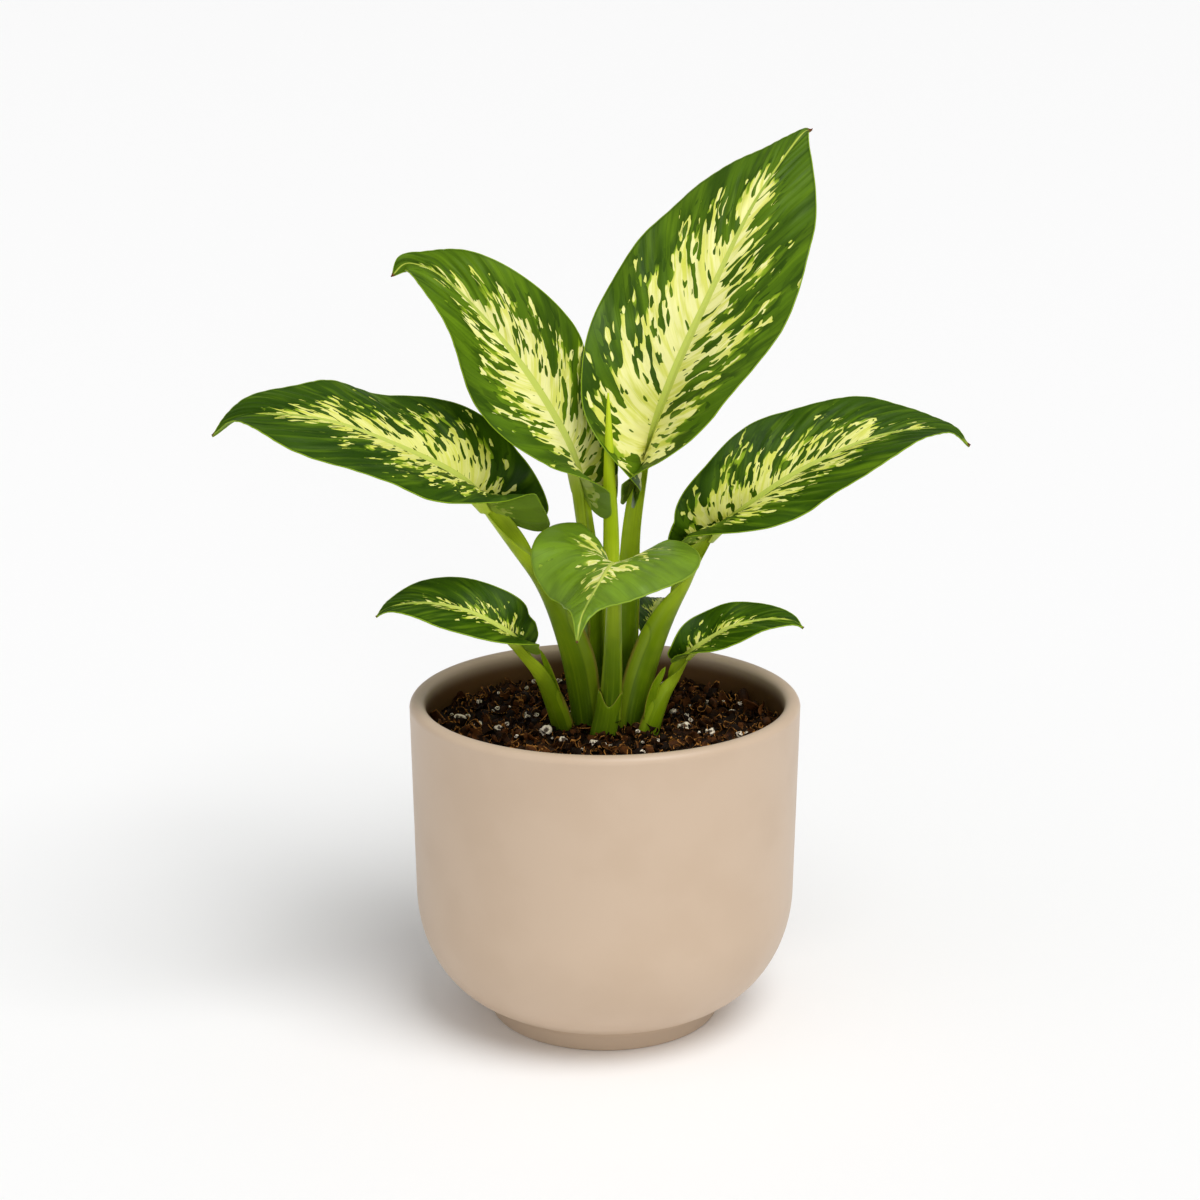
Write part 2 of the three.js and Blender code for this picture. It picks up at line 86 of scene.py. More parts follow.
# Half width, depth and thickness of a leaf stalk at equal steps from foot to blade. A thickness less than the
# depth leaves the inward side hollow.
SHEATH = dict(width=[5.6, 5.8, 5.2, 3.8, 2.6], depth=[5, 4.8, 4.4, 4.1, 4], thick=[3.4, 3.2, 3.2, 3.8, 4])
SLIM = dict(width=[3.8, 4, 3.6, 2.5, 1.9], depth=[3.2, 3.2, 3.1, 2.9, 2.9], thick=[2.4, 2.3, 2.4, 2.8, 2.9])

# Leaves.
# midrib: points from the leaf stalk to the tip. face: the way the upper side looks. lobe: length of the base
#   lobes. small: the blade has fewer rows and a finer pattern.
# roll, fold, curl: degrees at equal steps from base to tip. They are the blade's turn about its midrib, how
#   steeply each half rises from it, and how much each half bends on its way to the margin.
# base_fold: how much further the left and the right half fold up at the base.
# wave: depth, number and phase of the waves along each margin.
# stalk: points of the leaf stalk from its foot. inward: the way its hollow side looks. section: its sizes.
# flare: the side on which the sheath's edge stands out, and how far, at equal steps along the stalk.
# tongue: points of the sheath's free tip. rib: the midrib's half width at its foot.
# cream: how far the pale middle reaches from the midrib to the margin, at equal steps from base to tip, for
#   the left and the right half. pattern: the scale of its torn edge. seed: picks the noise.
# light: how light the green is, darker below zero: painted light and shade, lighter on the leaves in the
# light,
#   most on the front leaf for its sheen, darker on those that lie in shade. gloss: how strongly the skin
#   reflects.
LEAVES = {
    "top": dict(
        midrib=[
            (12, 24, 183), (23, 20, 216), (36, 24, 245), (49.5, 36, 270.5), (65, 55, 290), (70, 58.5, 293),
        ],
        face=(-0.1, -0.85, 0.5), half_width=32, outline=OVAL, lobe=1.1,
        roll=[5, 14, 14], fold=[78, 21, 4, -7], base_fold=(35, 0), curl=[5, -13], wave=(1.2, 3.3, 0.2),
        stalk=[(4.5, 14.5, 88), (6.5, 16.5, 112), (8, 19, 140), (9, 21, 162)], inward=(-0.1, -0.85, 0.5),
        section=dict(
            width=[4.6, 4.4, 4, 3.2, 2.6], depth=[4.4, 4.4, 4.2, 4.1, 4], thick=[3.2, 3.2, 3.4, 3.8, 4],
        ),
        cream=([0.8, 0.74, 0.66, 0.6, 0.5, 0.2, -0.4], [0.75, 0.66, 0.58, 0.55, 0.48, 0.22, -0.4]),
        seed=11.3, light=0.15, gloss=0.16, rib=2.3,
    ),
    "upper_left": dict(
        midrib=[
            (-7, 8, 178.3), (-13.2, 8, 197.7), (-27.6, 3, 222.7), (-48.7, 2, 247.5), (-62.5, 9, 253.7),
            (-69, 9.5, 249.3),
        ],
        face=(0.5, -0.6, 0.6), half_width=22, outline=OVAL, lobe=1.3,
        roll=[-26, 25, -4], fold=[28, 4, 24, 8], base_fold=(28, 0), curl=[-4, -4], wave=(1.4, 2.2, 0.35),
        stalk=[(-2.5, 9, 88), (-3, 8.5, 112), (-3.4, 8.2, 136), (-4.6, 8.6, 158)], inward=(0.5, -0.6, 0.6),
        section=dict(
            width=[4.2, 4, 3.4, 2.8, 2.4], depth=[4.2, 4.1, 4, 4, 4], thick=[3.2, 3.2, 3.6, 3.8, 4],
        ),
        cream=([0.5, 0.55, 0.55, 0.5, 0.42, 0.2, -0.3], [0.8, 0.75, 0.68, 0.62, 0.5, 0.2, -0.3]),
        seed=22.6, light=0.25, rib=2.0, pattern=0.85,
    ),
    "left": dict(
        midrib=[
            (-37, 2, 174), (-50, -9, 189), (-74, -22, 204), (-92, -26, 210), (-112, -23, 210),
            (-124, -20, 203),
        ],
        face=(0, -0.35, 1), half_width=24, outline=OVAL, lobe=2.4,
        roll=[30, 9, 0], fold=[65, 15, 4, 30], base_fold=(22, 0), curl=[-11, -8], wave=(1.2, 2.6, 0.6),
        stalk=[(-5, 3, 88), (-6.5, 3, 108), (-11.3, 3, 130), (-20.5, 3, 152)], inward=(0.5, 0.8, 0.3),
        section=SHEATH, flare=(-1, [0, 0, 0.5, 2, 1.5, 0, 0, 0, 0]),
        cream=([0.3, 0.5, 0.5, 0.42, 0.3, 0.0, -0.3], [0.55, 0.6, 0.55, 0.5, 0.4, 0.1, -0.3]),
        seed=33.9, light=-0.45, rib=2.0, pattern=0.72,
    ),
    "right": dict(
        midrib=[
            (33, 14, 161), (45, 10, 171.5), (65, 12, 185), (90.5, 15, 196), (112.5, 19, 197.5),
            (121.5, 19, 192),
        ],
        face=(0, -0.35, 1), half_width=22, outline=OVAL, lobe=1.2,
        roll=[-37, -13, 13], fold=[95, 42, 21, 9], curl=[-54, 2], wave=(0.8, 2.6, 0.1),
        stalk=[(7.5, 2, 88), (9.3, 3, 106), (14.2, 6, 124), (22.5, 10, 143)], inward=(-0.5, 0.8, 0.3),
        section=SHEATH, flare=(1, [0, 0, 0.4, 1.2, 1.6, 1.2, 0.4, 0, 0]),
        cream=([0.6, 0.6, 0.55, 0.5, 0.36, 0.05, -0.3], [0.4, 0.5, 0.5, 0.4, 0.26, 0.0, -0.3]),
        seed=45.2, light=-0.3, rib=1.9, pattern=0.72,
    ),
    "front": dict(
        midrib=[
            (3, -11, 154), (3.4, -22, 162), (1, -34, 163.5), (-3, -47, 160), (-7, -60, 155), (-8.5, -65, 148),
        ],
        face=(0, 0, 1), half_width=28, outline=HEART, lobe=0.3,
        roll=[13, -13, -7], fold=[69, 3, -15, 11], curl=[-48, -19], wave=(0.5, 2, 0),
        stalk=[(1.6, -8.3, 105), (2.3, -8.7, 118), (2.7, -9.1, 130), (2.9, -9.7, 143)], inward=(0, 1, 0.3),
        section=dict(
            width=[3.9, 3.5, 3, 2.6, 2.3], depth=[3.4, 3.4, 3.4, 3.5, 3.6], thick=[3.4, 3.4, 3.4, 3.5, 3.6],
        ),
        cream=([0.42, 0.42, 0.34, 0.16, -0.15, -0.35, -0.4], [0.42, 0.42, 0.34, 0.16, -0.15, -0.35, -0.4]),
        seed=56.5, light=0.85, gloss=0.6, rib=1.2, pattern=0.75,
    ),
    "low_left": dict(
        midrib=[
            (-27.5, -16, 133), (-32, -19, 138.5), (-43.5, -20.5, 145.5), (-56.5, -21, 148.5), (-68, -23, 148),
            (-73.5, -23, 144.5),
        ],
        face=(0, -0.3, 1), half_width=12.6, outline=OVAL, lobe=1.3, small=True,
        roll=[14, 14, -2], fold=[48, 16, 8, 8], curl=[-1, -9], wave=(0.3, 2, 0),
        stalk=[(-12, 1.5, 88), (-14, -0.5, 100), (-17.5, -6.2, 113), (-22, -11, 124)],
        inward=(0.4, 0.85, 0.3),
        section=SLIM, tongue=[(-14, -3, 104), (-15.2, -6.5, 112), (-17.6, -10, 121), (-21, -11.5, 130)],
        cream=([0.2, 0.25, 0.22, 0.16, 0.1, -0.1, -0.3], [0.2, 0.28, 0.25, 0.2, 0.12, -0.1, -0.3]),
        seed=67.8, light=-0.4, rib=1.3,
    ),
    "low_right": dict(
        midrib=[
            (26, -4.5, 125.5), (33.5, -6, 131.5), (41.5, -8, 137), (51.5, -8.5, 139.5), (60.5, -10.5, 140),
            (65, -11, 137.5),
        ],
        face=(0, -0.3, 1), half_width=9.5, outline=OVAL, lobe=1.2, small=True,
        roll=[-28, -12, -3], fold=[75, 18, 10, 5], curl=[-4, -6], wave=(0.3, 2, 0),
        stalk=[(12, -6, 88), (14, -5.5, 98), (17, -5, 108), (21, -4.5, 117)], inward=(-0.4, 0.85, 0.3),
        section=SLIM, tongue=[(14.2, -6.5, 105), (14.9, -7.2, 110.5), (16.6, -7.6, 116.5), (20, -7.2, 123)],
        cream=([0.2, 0.28, 0.25, 0.2, 0.12, -0.1, -0.3], [0.2, 0.25, 0.22, 0.16, 0.1, -0.1, -0.3]),
        seed=79.1, light=-0.35, rib=1.2,
    ),
    "back": dict(
        midrib=[
            (15.5, 24, 126), (17, 32, 130), (18.5, 40, 132), (20, 48, 131.5), (21.5, 56, 129), (22, 61, 126),
        ],
        face=(0, 0, 1), half_width=8.5, outline=OVAL, lobe=1.2, small=True,
        roll=[0, 0, 0], fold=[50, 16, 8, 5], curl=[-2, -8], wave=(0.3, 2, 0),
        stalk=[(8, 25, 88), (9.5, 25, 100), (11.5, 24.5, 110), (13.5, 24, 119)], inward=(-0.1, -1, 0.4),
        section=SLIM,
        cream=([0.2, 0.25, 0.2, 0.15, 0.1, -0.1, -0.3], [0.2, 0.25, 0.2, 0.15, 0.1, -0.1, -0.3]),
        seed=90.4, light=-0.45, rib=1.1,
    ),
}

# The short cane, wrapped in an old sheath. rim: length of the path up to the sheath's rim. notch: how far the
# rim runs down at the front, and half the angle over which it does.
CANE = dict(
    path=[(-1.5, -9.5, 86), (-0.8, -8.7, 98), (0.8, -8.6, 107), (2.2, -9, 118)],
    width=[4.6, 4.5, 4.2, 4], depth=[3.9, 3.9, 3.7, 3.5], rim=29.5, notch=4.5, notch_half_angle=1.1,
)
# The new leaf that is still rolled up.
SPEAR = dict(
    path=[(2.2, 8, 118), (2.3, 7.5, 140), (2.2, 6.5, 165), (1.6, 3.5, 184), (1.3, 1.5, 201), (1.1, 0.5, 213)],
    radius=[2.4, 3, 2.8, 2.3, 1.5, 0.3],
)

# The pot. waist: where the straight wall meets the curved one. curve_width, curve_height: its half axes.
POT = dict(
    height=111, rim_radius=65, waist_radius=63.8, waist_height=45, curve_width=29, curve_height=38.5,
    wall=5.3, floor=8, foot_radius=38.9, foot_height=5, foot_inner=33, foot_recess=2,
)
SOIL_TOP = 99  # middle height of its lumpy top
SOIL_RELIEF = 1.3  # height of the lumps

# Perlite grains of the model: x, y and radius.
PERLITE = [
    (-49, 6, 2.2), (-42.5, -3, 1.7), (-35.5, -4.5, 1.5), (-19.5, -9, 2.3), (-13.5, -18.5, 1.6),
    (-3.5, -20.5, 1.7), (26.5, -4.5, 2.3), (35, -8, 1.8), (44.5, -11.5, 1.4), (43.5, 16, 1.5),
]

# ------------------------------------------------------------------ curves and frames

PATH_SAMPLES = 400


def catmull(points, t):
    """Points at t, 0 to 1, of the smooth curve that passes through the given points at equal steps."""
    points = np.asarray(points, float)
    if points.ndim == 1:
        points = points[:, None]
    ends = np.vstack([2 * points[0] - points[1], points, 2 * points[-1] - points[-2]])
    x = np.clip(np.asarray(t, float), 0, 1) * (len(points) - 1)
    i = np.minimum(x.astype(int), len(points) - 2)
    s = (x - i)[:, None]
    a, b, c, d = ends[i], ends[i + 1], ends[i + 2], ends[i + 3]
    return b + 0.5 * s * (c - a + s * (2 * a - 5 * b + 4 * c - d + s * (3 * b - 3 * c + d - a)))


def steps(values, u):
    """A value given at equal steps from 0 to 1, joined smoothly."""
    return catmull(values, np.clip(u, 0, 1))[:, 0]


def unit(vectors):
    """Vectors of the same directions, each 1 long."""
    return vectors / np.linalg.norm(vectors, axis=-1, keepdims=True)


def smooth(low, high, x):
    """A soft step from 0 at low to 1 at high."""
    s = np.clip((np.asarray(x, float) - low) / (high - low), 0, 1)
    return s * s * (3 - 2 * s)


class Path:
    """A smooth curve measured by its length, which runs straight on past both ends."""

    def __init__(self, points):
        t = np.linspace(0, 1, PATH_SAMPLES + 1)
        self.points = catmull(points, t)
        self.tangents = unit(np.gradient(self.points, axis=0))
        lengths = np.linalg.norm(np.diff(self.points, axis=0), axis=1)
        self.at_length = np.concatenate([[0], np.cumsum(lengths)])
        self.length = self.at_length[-1]

    def at(self, u):
        """Points and tangents at the shares u of the length."""
        length = np.asarray(u, float) * self.length
        on = np.clip(length, 0, self.length)

        def read(table):
            return np.stack([np.interp(on, self.at_length, table[:, axis]) for axis in range(3)], 1)

        tangents = unit(read(self.tangents))
        return read(self.points) + tangents * (length - on)[:, None], tangents


def frames(path, u, face, roll):
    """Points, tangents, sides and upper directions along a path, whose upper side looks the way of face."""
    points, tangents = path.at(u)
    side = unit(np.cross(tangents, np.broadcast_to(face, tangents.shape)))
    up = np.cross(side, tangents)
    turn = np.radians(roll)[:, None]
    return points, tangents, side * np.cos(turn) + up * np.sin(turn), up * np.cos(turn) - side * np.sin(turn)


# ------------------------------------------------------------------ meshes


def add_piece(name, points_mm, faces, material, slot, replaces=(), uvs=None, values=None):
    """A mesh piece that rides on the plant's one body. uvs and values are layers that its material reads."""
    mesh = bpy.data.meshes.new(name)
    mesh.from_pydata((np.asarray(points_mm) * MM).tolist(), [], [tuple(f) for f in faces])
    corner = np.empty(len(mesh.loops), np.int32)
    mesh.loops.foreach_get("vertex_index", corner)
    for layer, table in (uvs or {}).items():
        table = np.asarray(table, np.float32)
        uv = mesh.uv_layers.new(name=layer)
        per_corner = table if len(table) == len(corner) else table[corner]
        uv.data.foreach_set("uv", per_corner.ravel())
    for layer, table in (values or {}).items():
        attribute = mesh.attributes.new(layer, "FLOAT", "POINT")
        attribute.data.foreach_set("value", np.asarray(table, np.float32))
    mesh.validate()
    mesh.shade_smooth()
    mesh.materials.append(material)
    piece = bpy.data.objects.new(name, mesh)
    bpy.context.scene.collection.objects.link(piece)
    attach(piece, BODY)
    if replaces:
        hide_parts(*replaces)


def grid_faces(rows, columns, wrap=False):
    """Quads of a grid of points, rows by columns. wrap joins the last column to the first."""
    r, c = np.meshgrid(np.arange(rows - 1), np.arange(columns if wrap else columns - 1), indexing="ij")
    n = (c + 1) % columns
    quads = np.stack([r * columns + c, r * columns + n, (r + 1) * columns + n, (r + 1) * columns + c], -1)
    return quads.reshape(-1, 4)


def sheet_faces(rows, columns):
    """Quads of a closed thin sheet: a grid of upper points, a grid of lower ones after it, and the rim."""
    count, last = rows * columns, columns - 1
    top = grid_faces(rows, columns)
    ring = np.concatenate([
        np.arange(columns),
        np.arange(1, rows) * columns + last,
        (rows - 1) * columns + np.arange(last - 1, -1, -1),
        np.arange(rows - 2, 0, -1) * columns,
    ])
    after = np.roll(ring, -1)
    return np.vstack([top, top[:, ::-1] + count, np.stack([after, ring, ring + count, after + count], 1)])


def loft(rings):
    """Points and faces of a closed body through rings of equal length: quads, and a fan at each end."""
    rings = np.asarray(rings)
    count, sides = rings.shape[:2]
    points = np.vstack([rings.reshape(-1, 3), rings[0].mean(0), rings[-1].mean(0)])
    faces = grid_faces(count, sides, wrap=True).tolist()
    first, last = len(points) - 2, len(points) - 1
    base = (count - 1) * sides
    for i in range(sides):
        n = (i + 1) % sides
        faces.append((first, n, i))
        faces.append((last, base + i, base + n))
    return points, faces


def with_ends(values, first=0.0, last=0.0):
    """Values of the points of a loft's rings, and those of the two middles of its ends."""
    return np.concatenate([np.ravel(values), [first, last]])


# ------------------------------------------------------------------ leaf blades

BLADE_ROWS = {False: 210, True: 110}  # rows from base to tip of a large and of a small blade
BLADE_COLUMNS = {False: 28, True: 16}  # columns across each half
ROW_CROWDING = 0.014  # brings the rows closer at the base lobes and the tip
COLUMN_CROWDING = 0.05  # brings the columns closer at the midrib and the margin
BASE_STRETCH = 0.16  # the share of the blade on which the base folds further
LEAST_BEND = 0.001  # radians of curl that even a flat half has, because the curl divides
BLADE_THICKNESS = (0.55, 0.3)  # beside the midrib and at the margin
THINNING_START = 0.1  # share of the way to the margin from which the blade thins

VEIN_SPACING = {False: 5.6, True: 3.4}  # side veins, measured half way to the margin
VEIN_SLANT = -0.35  # how a side vein strays from its row: below zero, it sweeps more towards the tip
VEIN_DEPTH = {False: 0.42, True: 0.2}  # how far the blade stands up between its side veins
VEIN_ROUND = 0.8  # how round the blade is between them
RELIEF_RISE = (0.04, 0.3)  # shares of the way to the margin over which this relief rises
RELIEF_FALL = (0.75, 1)  # and over which it loses a part of its height
RELIEF_LOSS = 0.6  # this part
RELIEF_ROWS = (0.08, 0.86)  # shares of the outline by which it is there and from which it fades

BLADE_SWELL = 0.4  # height of the broad, uneven waves of a blade
SWELL_ALONG, SWELL_OUT, SWELL_ASLANT = 0.31, 0.23, 0.09  # their turn in radians for each millimetre
SWELL_SHIFT = 1.7  # radians between the middle and each half
SECOND_HALF = 500.0  # added to the vein coordinate of the right half, so that its pattern is another one


def blade_point(leaf, path, u, across, hand):
    """Point and normal of the smooth upper side: u along the midrib, across in shares of the half width."""
    point, _, side, up = frames(path, u, leaf["face"], steps(leaf["roll"], u))
    more = leaf.get("base_fold", (0, 0))[0 if hand < 0 else 1]
    start = np.radians(steps(leaf["fold"], u) + more * (1 - smooth(0, BASE_STRETCH, u)))
    bend = np.radians(steps(leaf["curl"], u))
    bend = np.where(np.abs(bend) < LEAST_BEND, LEAST_BEND, bend)
    angle = start + bend * across
    radius = leaf["half_width"] / bend
    sideways = hand * radius * (np.sin(angle) - np.sin(start))
    upwards = radius * (np.cos(start) - np.cos(angle))
    tilt = np.where(across == 0, 0, angle)[:, None]
    normal = side * (-hand * np.sin(tilt)) + up * np.cos(tilt)
    return point + side * sideways[:, None] + up * upwards[:, None], normal


def blade_surface(leaf, path, row, v, hand):
    """The upper surface at row, 0 to 1 round the outline, and v, 0 to 1 out along that row's side vein."""
    origin, reach, half = catmull(leaf["outline"], row).T
    end = np.where(reach < origin, origin + (reach - origin) * leaf["lobe"], reach)
    u = origin + (end - origin) * v**VEIN_SWEEP
    point, normal = blade_point(leaf, path, u, half * v, hand)
    depth, count, phase = leaf["wave"]
    ahead = phase + (0 if hand > 0 else SECOND_WAVE)
    ripple = depth * np.sin(TURN * (count * end + ahead)) * v**3 * half
    return point + normal * ripple[:, None], normal, u, half * v * leaf["half_width"]


def half_blade(leaf, path, row, v, hand):
    """One half of a blade as grids: upper and lower points, and the measures that its material reads."""
    small = bool(leaf.get("small"))
    shape = (len(row), len(v))
    r, c = (g.ravel() for g in np.meshgrid(row, v, indexing="ij"))
    point, normal, u, across = blade_surface(leaf, path, r, c, hand)
    grid = point.reshape(*shape, 3)
    out = np.linalg.norm(np.diff(grid, axis=1), axis=2).cumsum(1)
    out = np.hstack([np.zeros((shape[0], 1)), out])
    middle = grid[:, shape[1] // 2]
    vein = np.concatenate([[0], np.linalg.norm(np.diff(middle, axis=0), axis=1).cumsum()])
    vein = np.repeat(vein[:, None], shape[1], 1)
    between = np.abs(np.sin(np.pi * (vein + VEIN_SLANT * out) / VEIN_SPACING[small])) ** VEIN_ROUND
    window = smooth(*RELIEF_RISE, v)[None, :] * (1 - RELIEF_LOSS * smooth(*RELIEF_FALL, v)[None, :])
    fade = smooth(0, RELIEF_ROWS[0], row)[:, None] * (1 - smooth(RELIEF_ROWS[1], 1, row))[:, None]
    swell = BLADE_SWELL * np.sin(SWELL_ALONG * vein + SWELL_SHIFT * hand)
    swell = swell * np.sin(SWELL_OUT * out + SWELL_ASLANT * vein)
    lift = (window * (VEIN_DEPTH[small] * between * fade + swell)).ravel()[:, None]
    thick, thin = BLADE_THICKNESS
    thickness = (thick + (thin - thick) * smooth(THINNING_START, 1, c))[:, None]
    return dict(
        upper=(point + normal * lift).reshape(*shape, 3),
        lower=(point + normal * (lift - thickness)).reshape(*shape, 3),
        vein=vein + (SECOND_HALF if hand > 0 else 0),
        out=out,
        to_margin=out[:, -1:] - out,
        u=u.reshape(shape),
        to_midrib=across.reshape(shape),
    )


def build_blade(name, leaf, material):
    """A blade: both halves in one closed thin sheet, from the left margin to the right one."""
    path = Path(leaf["midrib"])
    small = bool(leaf.get("small"))
    rows, columns = BLADE_ROWS[small] + 1, BLADE_COLUMNS[small]
    row, v = np.linspace(0, 1, rows), np.linspace(0, 1, columns + 1)
    row = row - ROW_CROWDING * np.sin(TURN * row)
    v = v - COLUMN_CROWDING * np.sin(TURN * v)
    left, right = (half_blade(leaf, path, row, v, hand) for hand in (-1, 1))
    width = 2 * columns + 1
    count = rows * width

    def join(key):
        return np.concatenate([left[key][:, :0:-1], right[key]], 1)

    points = np.vstack([join("upper").reshape(-1, 3), join("lower").reshape(-1, 3)])
    faces = sheet_faces(rows, width)
    # The vein coordinate differs between the halves along the midrib, so it is set corner by corner.
    index = faces % count
    on_right = (index % width).sum(1) > 4 * columns
    vein_left = np.concatenate([left["vein"][:, ::-1], left["vein"][:, :1].repeat(columns, 1)], 1)
    vein_right = np.concatenate([right["vein"][:, :1].repeat(columns, 1), right["vein"]], 1)
    vein = np.where(on_right[:, None], vein_right.ravel()[index], vein_left.ravel()[index])
    vein_mm = np.stack([vein.ravel(), join("out").ravel()[index].ravel()], 1)
    v_share = np.tile(np.concatenate([v[:0:-1], v]), rows)
    add_piece(
        f"blade_{name}", points, faces, material, "leaf_blade", [f"leaf_{name}_blade"],
        uvs={"vein_mm": vein_mm, "shares": np.stack([np.tile(join("u").ravel(), 2), np.tile(v_share, 2)], 1)},
        values={
            "under": np.repeat([0.0, 1.0], count),
            "to_margin": np.tile(join("to_margin").ravel(), 2),
            "to_midrib": np.tile(join("to_midrib").ravel(), 2),
        },
    )


# ------------------------------------------------------------------ leaf stalks

STALK_RINGS = 64
RIB_RINGS = 70
ARC_POINTS = 20  # points of each side of a stalk's section
STALK_TURN = 0.55  # the share of its length from which its inward side turns to the way of the blade's face

SHEATH_EDGE = 0.5  # thickness of a sheath's thin edges
EDGE_RISE = 0.45  # how far they bend inwards
EDGE_BEND = 4  # how sharply they do
HOLLOW_ROUND = 1.4  # how narrow the hollow of the inward side is
INWARD_WIDTH = 0.985  # width of the inward side, as a share of the outer one's
WING_FADE = (0.5, 0.75)  # shares of the stalk's length over which the sheath's wings end

RIB_START, RIB_END = 0.015, 0.965  # the midrib's stretch of the blade, at whose end it sinks in
RIB_JOINT = 0.1  # the share of the blade on which the stalk's section changes to the midrib's
RIB_FADE = 1.5  # how soon the midrib narrows
RIB_LEAST = (0.15, 0.35)  # half width and depth that are left at its end
RIB_PROUD = 0.12  # how far it stands out above the blade
RIB_SINK = 0.25  # how far its rim, and its top towards the end, lie in the blade
RIB_SINK_START = 0.8  # the share of the blade from which its top sinks in

TONGUE_GRID = (16, 7)  # points along and across a sheath's free tongue
TONGUE_WIDTH, TONGUE_THICKNESS = 1.7, 0.6  # its half width and thickness
TONGUE_THINNING = 0.6  # the share of the thickness that it loses up to its tip
TONGUE_BLUNT = 2.2  # how late it narrows
TONGUE_TIP = 0.02  # half width left at the tip
TONGUE_CUP = 0.5  # how hollow it is
TONGUE_DRY = 0.9  # the share of the way across from which it is dry
TONGUE_SHADE = 0.5  # the share of a stalk's length whose colours it has
TONGUE_ROUND = 20  # millimetres across it that count as once round a stalk, for its fibres


def stalk_section(width, depth, thick, wider=(0, 0)):
    """A stalk's section, round outside and hollow inside, as rings of (sideways, up). wider: how much further
    the edge on the negative and the positive side reaches."""
    a = np.linspace(0, np.pi, ARC_POINTS + 1)
    width, depth, thick = (np.asarray(x)[:, None] for x in (width, depth, thick))
    bend = EDGE_RISE * np.cos(a) ** EDGE_BEND
    outer = np.stack([np.cos(a) * width, bend - np.sin(a) * depth], -1)
    rise = SHEATH_EDGE + bend + np.sin(a) ** HOLLOW_ROUND * (thick - SHEATH_EDGE - depth)
    inner = np.stack([-np.cos(a) * width * INWARD_WIDTH, rise], -1)
    ring = np.concatenate([outer, inner], 1)
    share = ring[..., 0] / width
    for hand, more in zip((-1, 1), wider):
        ring[..., 0] += hand * np.reshape(more, (-1, 1)) * np.maximum(hand * share, 0) ** 2
    return ring


def rib_section(leaf, path, w):
    """The midrib's section at w along the blade, which its top lies on and its underside stands out below."""
    fade = (1 - w) ** RIB_FADE
    half = leaf["rib"] * fade + RIB_LEAST[0]
    depth = leaf["section"]["depth"][-1] * fade + RIB_LEAST[1]
    origin, _, side, up = frames(path, w, leaf["face"], steps(leaf["roll"], w))
    sink = RIB_SINK * smooth(RIB_SINK_START, 1, w)

    def local(points):
        return np.stack([((points - origin) * side).sum(1), ((points - origin) * up).sum(1)], -1)

    below, above = [], []
    for a in np.linspace(0, np.pi, ARC_POINTS + 1):
        early = a <= np.pi / 2
        rim, tilt = blade_point(leaf, path, w, half / leaf["half_width"], 1 if early else -1)
        drop = np.stack([0 * w, -depth * np.sin(a)], -1)
        below.append(local(rim - tilt * RIB_SINK) * abs(np.cos(a)) + drop)
        across = abs(np.cos(a)) * half / leaf["half_width"]
        on, tilt = blade_point(leaf, path, w, across, -1 if early else 1)
        crown = RIB_PROUD * fade * np.sin(a) - sink
        above.append(local(on + tilt * crown[:, None]))
    return np.stack(below + above, 1)


def tongue(points_mm, face):
    """The free tip of a sheath, a thin pointed sheet along its points: its points and faces, and which of the
    points are its dry edge."""
    rows, columns = TONGUE_GRID
    u, across = np.linspace(0, 1, rows), np.linspace(-1, 1, columns)
    point, _, side, up = frames(Path(points_mm), u, face, 0 * u)
    half = TONGUE_WIDTH * np.sqrt(1 - u**TONGUE_BLUNT)[:, None] * across + TONGUE_TIP * across
    cup = TONGUE_CUP * half**2 / TONGUE_WIDTH
    top = point[:, None] + half[..., None] * side[:, None] + cup[..., None] * up[:, None]
    low = top - TONGUE_THICKNESS * (1 - TONGUE_THINNING * u[:, None, None]) * up[:, None]
    edge = np.tile(np.abs(across) > TONGUE_DRY, rows)
    return np.vstack([top.reshape(-1, 3), low.reshape(-1, 3)]), sheet_faces(rows, columns), np.tile(edge, 2)


def add_shoot(name, node, slot, body, material, around, length, share, wing):
    """A stalk, the cane or the furled leaf, with what its material reads: turns round it, millimetres and the
    share of its length from the foot, and how near a point is to a thin edge, 1 on it."""
    add_piece(
        name, *body, material, slot, [node],
        uvs={"around_length": np.stack([around, length], 1)},
        values={"share": share, "wing": wing},
    )


